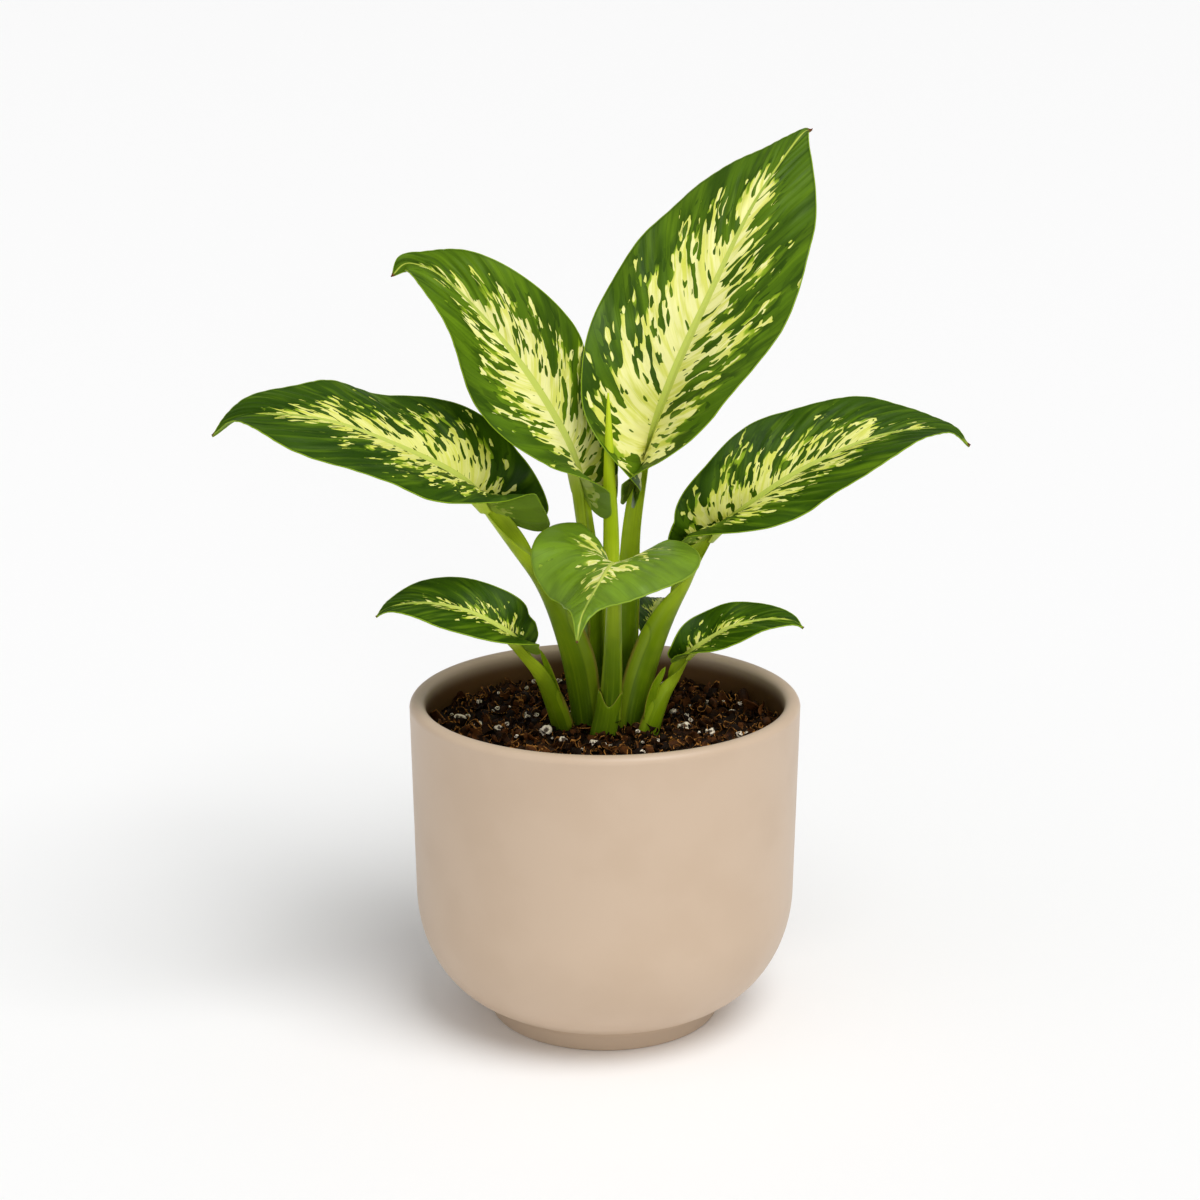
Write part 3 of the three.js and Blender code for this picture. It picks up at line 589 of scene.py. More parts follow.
def build_stalk(name, leaf, material):
    """The leaf stalk and, growing on from it, the midrib under and along the blade."""
    stem, path = Path(leaf["stalk"] + [leaf["midrib"][0]]), Path(leaf["midrib"])
    section, inward = leaf["section"], np.array(leaf["inward"])
    u = np.linspace(0, 1, STALK_RINGS)
    turn = smooth(STALK_TURN, 1, u)[:, None]
    face = unit(inward * (1 - turn) + np.array(leaf["face"]) * turn)
    point, _, side, up = frames(stem, u, face, leaf["roll"][0] * u * u)
    hand, more = leaf.get("flare", (1, [0, 0]))
    more = steps(more, u)
    wider = (more, 0 * u) if hand < 0 else (0 * u, more)
    ring = stalk_section(*(steps(section[key], u) for key in ("width", "depth", "thick")), wider)
    lower = point[:, None] + ring[..., :1] * side[:, None] + ring[..., 1:] * up[:, None]
    w = np.linspace(RIB_START, RIB_END, RIB_RINGS)
    origin, _, side, up = frames(path, w, leaf["face"], steps(leaf["roll"], w))
    joined = smooth(0, RIB_JOINT, w)[:, None, None]
    ring = ring[-1] * (1 - joined) + rib_section(leaf, path, w) * joined
    upper = origin[:, None] + ring[..., :1] * side[:, None] + ring[..., 1:] * up[:, None]
    points, faces = loft(np.concatenate([lower, upper]))

    sides = 2 * (ARC_POINTS + 1)
    share = np.concatenate([u, 1 + w])
    length = np.concatenate([u * stem.length, stem.length + w * path.length])
    around = with_ends(np.tile(np.arange(sides) / sides, len(share)))
    across = np.abs(np.cos(np.linspace(0, np.pi, ARC_POINTS + 1)))
    wing = np.tile(across, 2 * len(share)) * np.repeat(1 - smooth(*WING_FADE, share), sides)
    shares, lengths = (with_ends(np.repeat(x, sides), x[0], x[-1]) for x in (share, length))
    wing = with_ends(wing)
    if "tongue" in leaf:
        # It looks outwards, away from the plant.
        tip, tip_faces, edge = tongue(leaf["tongue"], inward * (-1, -1, 1))
        faces = faces + (tip_faces + len(points)).tolist()
        points = np.vstack([points, tip])
        shares = np.concatenate([shares, np.full(len(tip), TONGUE_SHADE)])
        lengths = np.concatenate([lengths, tip[:, 2]])
        around = np.concatenate([around, tip[:, 0] / TONGUE_ROUND])
        wing = np.concatenate([wing, edge])
    body = points, faces
    add_shoot(
        f"stalk_{name}", f"leaf_{name}_stalk", "leaf_stalk", body, material, around, lengths, shares, wing)


# ------------------------------------------------------------------ cane and furled leaf

SHOOT_SIDES = 72
CANE_RINGS = 40
CANE_SHADE = 0.45  # the share of a stalk's length whose colours the cane has at its top
SHEATH_WALL = 0.3  # thickness of the old sheath at its rim
SHEATH_INSIDE = (0, 1, 5)  # how far below the rim the rings inside it lie
DRY_RIM = 0.4  # width of its dry edge
SPEAR_RINGS = 120
SPEAR_SHADE = 0.9  # the share of a stalk's length whose colours the furled leaf has at its tip
SEAM_START = 0.5  # radians from its side to the foot of the furled leaf's free edge
SEAM_TURNS = 2.6  # radians that this edge winds round it
SEAM_STEP = 0.17  # height of the edge, in shares of the radius
SEAM_LIGHT, SEAM_FADE = 0.9, 4  # how much the edge looks like a sheath's wing, and how soon that ends


def build_cane(material):
    """The cane in its old sheath, whose rim has a notch at the front, where a leaf stalk comes out."""
    path = Path(CANE["path"])
    a = np.linspace(0, TURN, SHOOT_SIDES, endpoint=False)
    off_front = np.abs((a + np.pi) % TURN - np.pi)
    rim = CANE["rim"] - CANE["notch"] * (1 - smooth(0, CANE["notch_half_angle"], off_front))
    outside = np.linspace(0, 1, CANE_RINGS)[:, None] * rim / path.length
    inside = np.stack([rim - down for down in SHEATH_INSIDE]) / path.length
    u = np.vstack([outside, inside])
    inset = np.vstack([0 * outside, np.full_like(inside, SHEATH_WALL)])
    point, _, side, up = (x.reshape(*u.shape, 3) for x in frames(path, u.ravel(), FRONT, 0 * u.ravel()))
    width, depth = (steps(CANE[key], u.ravel()).reshape(u.shape) - inset for key in ("width", "depth"))
    rings = point + (np.sin(a) * width)[..., None] * side + (np.cos(a) * depth)[..., None] * up
    share = with_ends(u, 0, u[-1].mean())
    around = with_ends(np.tile(a / TURN, len(u)))
    wing = with_ends(u >= (rim - DRY_RIM) / path.length)
    body = loft(rings)
    length = share * path.length
    add_shoot("cane_sheath", "cane", "leaf_stalk", body, material, around, length, share * CANE_SHADE, wing)


def build_spear(material):
    """The new leaf: a blade rolled round itself, whose free edge winds up it as a low step."""
    path = Path(SPEAR["path"])
    u = np.linspace(0, 1, SPEAR_RINGS)
    a = np.linspace(0, TURN, SHOOT_SIDES, endpoint=False)
    point, _, side, up = frames(path, u, FRONT, 0 * u)
    seam = (a + SEAM_TURNS * u[:, None] + SEAM_START) % TURN
    reach = steps(SPEAR["radius"], u)[:, None] * (1 - SEAM_STEP / 2 + SEAM_STEP * seam / TURN)
    rings = point[:, None] + (np.cos(a) * reach)[..., None] * side[:, None]
    rings = rings + (np.sin(a) * reach)[..., None] * up[:, None]
    share = with_ends(np.repeat(u, len(a)), 0, 1)
    around = with_ends(np.tile(a / TURN, len(u)))
    wing = with_ends(np.exp(-SEAM_FADE * seam) * SEAM_LIGHT)
    body = loft(rings)
    length, share = share * path.length, share * SPEAR_SHADE
    add_shoot(
        "furled_young_leaf", "furled_leaf", "young_leaf", body, material, around, length, share, wing)


# ------------------------------------------------------------------ pot

POT_SIDES = 240
# Rings of each part of its profile.
POT_RINGS = dict(inner_foot=5, outer_foot=6, curve=26, wall=18, lip=15, inner_wall=16, inner_curve=14)
ABOVE_WAIST, BELOW_WAIST, ABOVE_FLOOR = 3, 1, 4  # how far from there the rings of a wall start or end
FLOOR_RING = 20  # radius of the one ring on the flat floor
POT_SWELL = 0.22  # how far the wall is out of round, in two waves, and by half of it in three
SWELL_HEIGHTS = (6, 30)  # heights over which this comes in
FOOT_EDGE = 0.8  # rounding of the foot's edges
FOOT_FILLET = ((0, -0.4), (0.15, 0), (0.5, 0.5), (1, 1))  # from the foot's top edge to the wall: out and up
CURVE_START = 0.19  # radians from the curved wall's lowest point to where the foot carries it
LIP_START = 8  # degrees that the lip's arc leaves to the wall on each side
AXIS = 0.01  # radius of the small rings that close the underside and the floor


def wall_radius(z, inset=0.0):
    """Radius of the pot's outside, moved inwards by inset."""
    z = np.asarray(z, float)
    lean = (z - POT["waist_height"]) / (POT["height"] - POT["waist_height"])
    straight = POT["waist_radius"] + lean * (POT["rim_radius"] - POT["waist_radius"]) - inset
    drop = np.clip((POT["waist_height"] - z) / (POT["curve_height"] - inset), 0, 1)
    curved = POT["waist_radius"] - POT["curve_width"] + (POT["curve_width"] - inset) * np.sqrt(1 - drop**2)
    return np.where(z >= POT["waist_height"], straight, curved)


def arc(middle, radius, start, end, count):
    """Points of an arc in the pot's profile, from start to end in degrees."""
    a = np.radians(np.linspace(start, end, count))
    return np.stack([middle[0] + radius * np.cos(a), middle[1] + radius * np.sin(a)], 1)


def build_pot(material):
    """The pot: its profile turned round, with a swell that no hand-finished pot is quite without."""
    lip, waist = POT["wall"] / 2, POT["waist_height"]
    foot, inner_foot, recess = POT["foot_radius"], POT["foot_inner"], POT["foot_recess"]
    under_lip = POT["height"] - lip
    turn = np.linspace(CURVE_START, np.pi / 2, POT_RINGS["curve"])
    curve = waist - POT["curve_height"] * np.cos(turn)
    up = np.concatenate([curve, np.linspace(waist + ABOVE_WAIST, under_lip, POT_RINGS["wall"])])
    down = np.concatenate([
        np.linspace(under_lip, waist + ABOVE_WAIST, POT_RINGS["inner_wall"]),
        np.linspace(waist - BELOW_WAIST, POT["floor"] + ABOVE_FLOOR, POT_RINGS["inner_curve"]),
    ])
    profile = np.vstack([
        [(AXIS, recess), (inner_foot - 1, recess)],
        arc((inner_foot + FOOT_EDGE, FOOT_EDGE), FOOT_EDGE, 180, 270, POT_RINGS["inner_foot"]),
        arc((foot - FOOT_EDGE, FOOT_EDGE), FOOT_EDGE, 270, 360, POT_RINGS["outer_foot"]),
        [(foot + out, POT["foot_height"] + rise) for out, rise in FOOT_FILLET],
        np.stack([wall_radius(up), up], 1),
        arc((POT["rim_radius"] - lip, under_lip), lip, LIP_START, 180 - LIP_START, POT_RINGS["lip"]),
        np.stack([wall_radius(down, POT["wall"]), down], 1),
        [(FLOOR_RING, POT["floor"]), (AXIS, POT["floor"])],
    ])
    a = np.linspace(0, TURN, POT_SIDES, endpoint=False)
    swell = POT_SWELL * np.sin(2 * a + 0.6) + POT_SWELL / 2 * np.sin(3 * a + 2)
    growth = 1 + smooth(*SWELL_HEIGHTS, profile[:, 1:]) * swell / POT["rim_radius"]
    around = profile[:, :1] * growth
    rings = np.stack([around * np.cos(a), around * np.sin(a), np.repeat(profile[:, 1:], POT_SIDES, 1)], -1)
    add_piece("ceramic_pot", *loft(rings), material, "pot_ceramic", ["pot"])


# ------------------------------------------------------------------ soil

SOIL_BUMPS = ((5.0, 0.8), (2.3, 0.55), (1.2, 0.35))  # finer lumps of the soil's body: size and height
SOIL_GRID = (62, 200)  # rings and sides of its top
SOIL_MIDDLE = 0.3  # radius of the innermost ring
SOIL_FLAT = 8  # width of the border on which the lumps flatten out
SOIL_SIDE = (70, 40, 20, POT["floor"] + 1.5)  # heights of the rings down its side
SOIL_GAP = 0.25  # between the soil and the pot's wall
COARSE_SHRED, FINE_SHRED = 4.2, 1.9  # half the length of the longest shreds of bark
COARSE_ROWS, FINE_ROWS = 7, 4  # points along a shred
SHRED_ACROSS = np.array([1, 0.78, -0.78, -1])  # points across it: a plain middle and a narrow rim

# Least and most of what differs between shreds: half width, rise across and taper, as shares of half the
# length, the bend along it in radians, and the thickness. Then the spread of its pitch and tilt, in radians.
SHRED_HALF_WIDTH, SHRED_CUP, SHRED_TAPER = (0.25, 0.6), (-0.5, 0.7), (0.2, 0.8)
SHRED_BEND, SHRED_THICKNESS = (0.5, 2.6), (0.15, 0.4)
SHRED_PITCH, SHRED_TILT = 0.6, 0.8
SHRED_WIGGLE = 0.3  # how far its sides wander
SHRED_RIM, SHRED_END = 0.9, 0.99  # the shares of the way across and along from which it is rim
SHRED_LENGTHS = (0.45, 1)  # shares of the longest shred's length
SHRED_BORDER = 1  # no shred has its middle nearer to the edge of the soil
SHRED_LIFT = (-0.2, 0.45)  # how high it lies: in millimetres at least, and in shares of its length at most


def soil_height(x, y):
    """The soil's lumps, flat near the pot's wall. The numbers in their waves are those of the model."""
    lumps = np.sin(x * 0.61 + 1.3 * np.sin(y * 0.37)) * np.cos(y * 0.53 + 1.1 * np.sin(x * 0.29))
    lumps = lumps + 0.6 * np.sin(x * 1.13 - y * 0.91 + 2)
    inside = smooth(0, SOIL_FLAT, POT["rim_radius"] - POT["wall"] - np.hypot(x, y))
    return SOIL_TOP + SOIL_RELIEF * lumps * inside


def soil_radius(z):
    """The soil's radius at a height, just clear of the pot's wall."""
    return float(wall_radius(z, POT["wall"])) - SOIL_GAP


def shred(draw, long, rows):
    """One shred of bark, about twice long in length: a thin strip, curled along and cupped across. Gives its
    turned points, and which of them are its rim."""
    s, w = (g.ravel() for g in np.meshgrid(np.linspace(-1, 1, rows), SHRED_ACROSS, indexing="ij"))
    wide = long * draw.uniform(*SHRED_HALF_WIDTH)
    bend, cup, taper = (draw.uniform(*span) for span in (SHRED_BEND, SHRED_CUP, SHRED_TAPER))
    x = long * np.sin(s * bend) / bend
    y = wide * (w * (1 - taper * s**2) + SHRED_WIGGLE * np.sin(3 * s + draw.uniform(0, 6)))
    z = long * (1 - np.cos(s * bend)) / bend + wide * cup * w**2
    top = np.stack([x, y, z - z.mean()], 1)
    points = np.vstack([top, top - (0, 0, draw.uniform(*SHRED_THICKNESS))])
    turns = (
        ("Z", draw.uniform(0, TURN)),
        ("Y", draw.normal(0, SHRED_PITCH)),
        ("X", draw.normal(0, SHRED_TILT)),
    )
    for axis, angle in reversed(turns):
        points = points @ np.array(Matrix.Rotation(angle, 3, axis)).T
    return points, np.tile(np.maximum(np.abs(w) > SHRED_RIM, np.abs(s) > SHRED_END), 2)


def scatter_shreds(draw, count, longest, rows):
    """Shreds that lie any way on the soil: their points, faces, tones and dry rims."""
    limit = soil_radius(SOIL_TOP)
    points, faces, tones, dry = [], [], [], []
    shape = sheet_faces(rows, len(SHRED_ACROSS))
    least, most = SHRED_LIFT
    for i in range(count):
        body, rim = shred(draw, longest * draw.uniform(*SHRED_LENGTHS), rows)
        radius, angle = (limit - SHRED_BORDER) * math.sqrt(draw.uniform(0, 1)), draw.uniform(0, TURN)
        x, y = radius * math.cos(angle), radius * math.sin(angle)
        body = body + (x, y, float(soil_height(x, y)) + draw.uniform(least, most * longest))
        reach = np.hypot(body[:, 0], body[:, 1]).max()
        body[:, :2] *= min(1, limit / reach)
        points.append(body)
        faces.append(shape + i * len(body))
        tones.append(np.full(len(body), draw.uniform(0, 1)))
        dry.append(rim * draw.uniform(0, 1))
    return [np.vstack(points), np.vstack(faces), np.concatenate(tones), np.concatenate(dry)]


def build_soil(material, count, seed):
    """The soil's body, with coarse shreds of bark in the same piece, and finer crumbs as a second one."""
    draw = np.random.default_rng(seed)
    rings, sides = SOIL_GRID
    a = np.linspace(0, TURN, sides, endpoint=False)[::-1]
    radii = np.linspace(SOIL_MIDDLE, soil_radius(SOIL_TOP), rings)[:, None]
    x, y = radii * np.cos(a), radii * np.sin(a)
    z = soil_height(x, y)
    for size, height in SOIL_BUMPS:
        p, q, r, s = draw.uniform(0, TURN, 4)
        # Two sets of ridges that cross, each bent by a slower wave.
        one = np.sin(x / size + p + 1.4 * np.sin(0.8 * y / size + q))
        other = np.sin(1.1 * y / size + r + 1.2 * np.sin(0.9 * x / size + s))
        z += height * one * other
    body = [np.stack([x, y, z], -1)]
    for height in SOIL_SIDE:
        radius = soil_radius(height)
        body.append(np.stack([radius * np.cos(a), radius * np.sin(a), 0 * a + height], -1)[None])
    points, faces = loft(np.vstack(body))
    bark, bark_faces, tone, dry = scatter_shreds(draw, count, COARSE_SHRED, COARSE_ROWS)
    crumbs, crumb_faces, crumb_tone, crumb_dry = scatter_shreds(draw, 2 * count, FINE_SHRED, FINE_ROWS)
    plain = np.zeros(len(points))
    faces = faces + (bark_faces + len(points)).tolist()
    add_piece(
        "potting_soil", np.vstack([points, bark]), faces, material, "potting_soil", ["soil"],
        values={"tone": np.concatenate([plain, tone]), "dry": np.concatenate([plain, dry])},
    )
    add_piece(
        "bark_crumbs", crumbs, crumb_faces, material, "potting_soil",
        values={"tone": crumb_tone, "dry": crumb_dry},
    )


# ------------------------------------------------------------------ perlite

GRAIN_RISE = 1.4  # grains lie on the shreds, this much above the soil's body
GRAIN_LUMPS, GRAIN_BUMPS = 0.16, 0.05  # height of its broad and its small lumps, in shares of the radius
LUMP_WAVES, BUMP_WAVES = (4.1, 3.7, 0), (9, 8, 7)  # their turn in radians for each radius
GRAIN_PITS = 9
PIT_EDGE = (0.78, 0.9)  # cosine of the angle from a pit's middle to its edge, at least and at most
PIT_DEPTH = 0.4  # in shares of the radius
PIT_LEAN = (0, -0.5, 0.7)  # pits lie more on the front and the top, where they show
GRAIN_STRETCH = (0.85, 0.75, 0.7), (1.1, 1, 0.85)  # least and most along X, Y and Z
GRAIN_DETAIL, CRUMB_DETAIL = 4, 3  # how often the faces of a ball are split
CRUMB_SIZES = (0.4, 1.1)  # least and largest radius of a small grain
CRUMB_REACH = 54  # radius of the soil that has crumbs
CRUMB_FREE = 0.04  # share of its area, round the middle, that has none


def grain(draw, x, y, size, detail):
    """A popped grain of perlite, a lumpy ball with pits: points, faces, and how deep in a pit each is."""
    ball = bmesh.new()
    bmesh.ops.create_icosphere(ball, subdivisions=detail, radius=1)
    p = np.array([v.co for v in ball.verts])
    faces = np.array([[v.index for v in f.verts] for f in ball.faces])
    ball.free()
    one, two, three = draw.uniform(0, TURN, 3)
    broad, small = p * LUMP_WAVES, p * BUMP_WAVES
    radius = 1 + GRAIN_LUMPS * np.sin(broad[:, 0] + one) * np.cos(broad[:, 1] + two)
    bumps = np.sin(small[:, 0] + two) * np.sin(small[:, 1] + three) * np.sin(small[:, 2] + one)
    radius += GRAIN_BUMPS * bumps
    pits = np.zeros(len(p))
    for _ in range(GRAIN_PITS):
        towards = unit(draw.normal(size=3) + PIT_LEAN)
        pits = np.maximum(pits, smooth(draw.uniform(*PIT_EDGE), 1, p @ towards))
    stretch = size * draw.uniform(*GRAIN_STRETCH)
    points = p * (radius * (1 - PIT_DEPTH * pits))[:, None] * stretch
    return points + (x, y, float(soil_height(x, y)) + 0.5 * size + GRAIN_RISE), faces, pits


def build_perlite(material, crumbs, seed):
    """The perlite grains of the model, and one piece of smaller ones between the shreds."""
    draw = np.random.default_rng(seed)
    for i, (x, y, size) in enumerate(PERLITE):
        points, faces, pits = grain(draw, x, y, size, GRAIN_DETAIL)
        name, node = f"perlite_grain_{i + 1}", f"perlite_{i + 1}"
        add_piece(name, points, faces, material, "perlite", [node], values={"pit": pits})
    parts = []
    for _ in range(crumbs):
        radius, angle = CRUMB_REACH * math.sqrt(draw.uniform(CRUMB_FREE, 1)), draw.uniform(0, TURN)
        place = radius * math.cos(angle), radius * math.sin(angle)
        parts.append(grain(draw, *place, draw.uniform(*CRUMB_SIZES), CRUMB_DETAIL))
    each = len(parts[0][0])
    points, pits = np.vstack([part[0] for part in parts]), np.concatenate([part[2] for part in parts])
    faces = np.vstack([part[1] + i * each for i, part in enumerate(parts)])
    add_piece("perlite_crumbs", points, faces, material, "perlite", values={"pit": pits})


# ------------------------------------------------------------------ materials

FACTOR, A, B = 0, 6, 7  # inputs of a colour mix
SOFT = dict(interpolation_type="SMOOTHSTEP")


def add(tree, kind, links=None, **settings):
    """Adds a node with its settings and links. A link comes from a number, a colour, a node (its first output
    in use) or one of a node's outputs."""
    made = tree.nodes.new("ShaderNode" + kind)
    for key, value in settings.items():
        setattr(made, key, value)
    for key, source in (links or {}).items():
        if isinstance(source, bpy.types.Node):
            source = next(output for output in source.outputs if output.enabled)
        if isinstance(source, bpy.types.NodeSocket):
            tree.links.new(source, made.inputs[key])
        else:
            made.inputs[key].default_value = source
    return made


def cover(tree, body, colour, pattern, low=0.0, high=1.0, most=1.0):
    """Lays a colour over the body, up to the share most, where the pattern passes from low to high."""
    share = add(tree, "MapRange", {0: pattern, 1: low, 2: high, 4: most}, **SOFT)
    return add(tree, "Mix", {FACTOR: share, A: body, B: colour}, data_type="RGBA")


def new_material(name):
    """An empty material and its node tree."""
    material = bpy.data.materials.new(name)
    material.use_nodes = True
    material.node_tree.nodes.clear()
    return material, material.node_tree


def blend(a, b, share):
    """A colour between two others."""
    return [x + (y - x) * share for x, y in zip(a, b)]


LEAF_IOR = 1.42  # the thin wax skin of a leaf
LEAF_GLOSS = 0.12  # how strongly it reflects, where a leaf gives nothing else
LEAF_ROUGHNESS = (0.34, 0.5)  # least and most
LEAF_GLOW = 0.14  # the share of the light that shines through a blade
PAINTED_LIGHT_ON_DARK = 0.6  # how much of a leaf's painted light reaches its dark patches, too

# Patches of noise on a blade are given by their width and length in millimetres, the length along the side
# veins. TEARS: each with how far it moves the pale middle's torn edge, in shares of the half width.
TEARS = ((16.0, 34.0, 0.7), (6.6, 14.0, 0.95), (3.2, 6.5, 0.38))
# FLECKS of green in the pale middle, then pale ones in the green. patches: each with the level of noise from
# which there is a fleck. nearer: from where to where, towards the torn edge, flecks grow, and by how much of
# the noise. change: what a fleck adds to the share by which a spot lies inside the pale middle.
FLECKS = (
    dict(patches=((4.0, 8.5, 0.65), (2.2, 5.0, 0.675)), nearer=(0.6, 0.05, 0.11), change=-1.3, seed=20),
    dict(patches=((2.6, 4.5, 0.72), (3.8, 6.0, 0.75)), nearer=(-0.45, -0.02, 0.13), change=0.38, seed=30),
)
FLECK_EDGE = 0.04  # how soft a fleck's edge is, in its noise
NEXT_SEED = 3.1  # the step of the seed from one row of patches to the next
SMALL_PATTERN = 0.5  # the pattern's scale on a small blade
STRAY, STRAY_REACH = (3.0, 5.0), 3.0  # patches in which the side veins stray, and how many millimetres
# The light bands are painted sheen on the green.
DARK_BANDS, SHEEN_BANDS, PALE_BANDS = (9.0, 22.0), (5.5, 26.0), (3.0, 14.0)
SKIN_LINES, SKIN_PATCHES = (0.6, 14.0), (4.0, 10.0)  # fine lines of the skin, and patches that shine more
CELL_SIZE, SKIN_RELIEF = 0.9, 0.045  # cells that show as grain, drawn larger than life, and their depth
GROOVE_WIDTH = (0.28, 0.04)  # how far from a side vein's line its colour starts, and where it is full
REACH_LOW, REACH_HIGH = -0.5, 1.0  # values that a curve of the pale middle's reach spans


def pale_reach(tree, values, u):
    """How far the pale middle reaches at u, from its values at equal steps."""
    curve = add(tree, "FloatCurve", {1: u})
    line = curve.mapping.curves[0]
    span = REACH_HIGH - REACH_LOW
    spots = [(i / (len(values) - 1), (x - REACH_LOW) / span) for i, x in enumerate(values)]
    line.points[0].location, line.points[-1].location = spots[0], spots[-1]
    for spot in spots[1:-1]:
        line.points.new(*spot)
    curve.mapping.update()
    return add(tree, "Math", {0: curve, 1: span, 2: REACH_LOW}, operation="MULTIPLY_ADD")


def leaf_material(name, leaf, colours):
    """Leaf blade: living leaf tissue under a thin wax skin. It gives a satin sheen on a soft, slightly
    translucent body. The pale middle lacks leaf green, and its torn edge follows the side veins."""
    material, tree = new_material("leaf_skin_" + name)
    vein_mm = add(tree, "SeparateXYZ", {0: add(tree, "UVMap", uv_map="vein_mm")})
    shares = add(tree, "SeparateXYZ", {0: add(tree, "UVMap", uv_map="shares")})
    along, out = vein_mm.outputs[0], vein_mm.outputs[1]
    u, v = shares.outputs[0], shares.outputs[1]
    under = add(tree, "Attribute", attribute_name="under").outputs["Fac"]
    to_margin = add(tree, "Attribute", attribute_name="to_margin").outputs["Fac"]
    to_midrib = add(tree, "Attribute", attribute_name="to_midrib").outputs["Fac"]
    scale = SMALL_PATTERN if leaf.get("small") else leaf.get("pattern", 1.0)
    swept = add(tree, "Math", {0: out, 1: VEIN_SLANT, 2: along}, operation="MULTIPLY_ADD")

    def streaks(patch, seed, detail=1.0, source=swept):
        """Noise in patches drawn out along the side veins."""
        wide, long = patch
        across = add(tree, "Math", {0: source, 1: wide * scale}, operation="DIVIDE")
        outwards = add(tree, "Math", {0: out, 1: long * scale}, operation="DIVIDE")
        place = add(tree, "CombineXYZ", {0: across, 1: outwards, 2: leaf["seed"] + seed})
        return add(tree, "TexNoise", {"Vector": place, "Scale": 1.0, "Detail": detail, "Roughness": 0.55})

    # The share of the half width by which a spot lies inside the pale middle, whose edge is torn.
    stray = {0: streaks(STRAY, seed=60.0), 1: STRAY_REACH * scale, 2: swept}
    bent = add(tree, "Math", stray, operation="MULTIPLY_ADD")
    left, right = (pale_reach(tree, values, u) for values in leaf["cream"])
    is_right = add(tree, "Math", {0: along, 1: SECOND_HALF / 2}, operation="GREATER_THAN")
    edge = add(tree, "Mix", {0: is_right, 2: left, 3: right}, data_type="FLOAT")
    inside = add(tree, "Math", {0: edge, 1: v}, operation="SUBTRACT")
    for i, (wide, long, depth) in enumerate(TEARS):
        noise = streaks((wide, long), seed=NEXT_SEED * i, detail=1.5, source=bent)
        noise = add(tree, "Math", {0: noise, 1: 0.5}, operation="SUBTRACT")
        inside = add(tree, "Math", {0: noise, 1: depth, 2: inside}, operation="MULTIPLY_ADD")
    for kind in FLECKS:
        start, end, more = kind["nearer"]
        nearer = add(tree, "MapRange", {0: inside, 1: start, 2: end, 4: more}, **SOFT)
        for i, (wide, long, level) in enumerate(kind["patches"]):
            noise = streaks((wide, long), seed=kind["seed"] + NEXT_SEED * i, detail=0.5, source=bent)
            noise = add(tree, "Math", {0: noise, 1: nearer}, operation="ADD")
            fleck = add(tree, "MapRange", {0: noise, 1: level, 2: level + FLECK_EDGE})
            inside = add(tree, "Math", {0: fleck, 1: kind["change"], 2: inside}, operation="MULTIPLY_ADD")

    # Green tissue, darker beside the pale middle, with lighter bands of painted sheen between the side veins.
    light, dark = colours["light_green"], colours["dark_green"]
    # A leaf's lightness is painted light and shade: its green and its dark patches are lighter where the leaf
    # is in the light, darker where it lies in shade.
    leaf_light_and_shade = leaf["light"]
    body = blend(colours["green"], light if leaf_light_and_shade > 0 else dark, abs(leaf_light_and_shade))
    dark = blend(dark, body, max(leaf_light_and_shade, 0) * PAINTED_LIGHT_ON_DARK)
    bands = streaks(DARK_BANDS, seed=40.0, detail=2.0)
    body = cover(tree, body, dark, bands, low=0.4, high=0.66, most=0.7)
    bands = streaks(SHEEN_BANDS, seed=43.0, detail=2.0)
    body = cover(tree, body, light, bands, low=0.46, high=0.74, most=0.4)
    body = cover(tree, body, dark, inside, low=-0.45, high=-0.1, most=0.75)
    # Side veins: thin sunken lines, darkened in the green as painted shade in the grooves.
    spacing = VEIN_SPACING[bool(leaf.get("small"))]
    phase = add(tree, "Math", {0: swept, 1: spacing / 2}, operation="PINGPONG")
    groove = add(tree, "MapRange", {0: phase, 1: GROOVE_WIDTH[0], 2: GROOVE_WIDTH[1]}, **SOFT)
    body = cover(tree, body, dark, groove, most=0.3)
    # The pale middle, with its bright rim, and its own paler veins.
    # On a leaf in shade the pale middle is darker and yellower, as painted shade.
    pale = blend(colours["cream"], colours["yellow"], max(-leaf_light_and_shade, 0))
    bands = streaks(PALE_BANDS, seed=46.0, detail=2.0)
    pale = cover(tree, pale, colours["yellow"], bands, low=0.42, high=0.66, most=0.8)
    pale = cover(tree, pale, colours["yellow"], inside, low=0.34, high=0.04, most=0.85)
    pale = cover(tree, pale, colours["pale_vein"], groove, most=0.5)
    body = cover(tree, body, colours["lime"], inside, low=-0.12, high=-0.015)
    body = cover(tree, body, pale, inside, low=-0.01, high=0.06)
    # The midrib, the margin and the dry tip.
    thin = add(tree, "Math", {0: 1.0, 1: u}, operation="SUBTRACT", use_clamp=True)
    thin = add(tree, "Math", {0: thin, 1: RIB_FADE}, operation="POWER")
    rib = add(tree, "Math", {0: thin, 1: -leaf["rib"], 2: to_midrib}, operation="MULTIPLY_ADD")
    body = cover(tree, body, colours["rib"], rib, low=0.35, high=0.05)
    body = cover(tree, body, dark, to_margin, low=1.6, high=0.4, most=0.5)
    body = cover(tree, body, colours["lime"], to_margin, low=0.5, high=0.25)
    body = cover(tree, body, colours["dry_tip"], u, low=0.984, high=0.994)
    # The underside is paler, and the pattern shows through it.
    body = cover(tree, body, colours["under"], under, most=0.65)

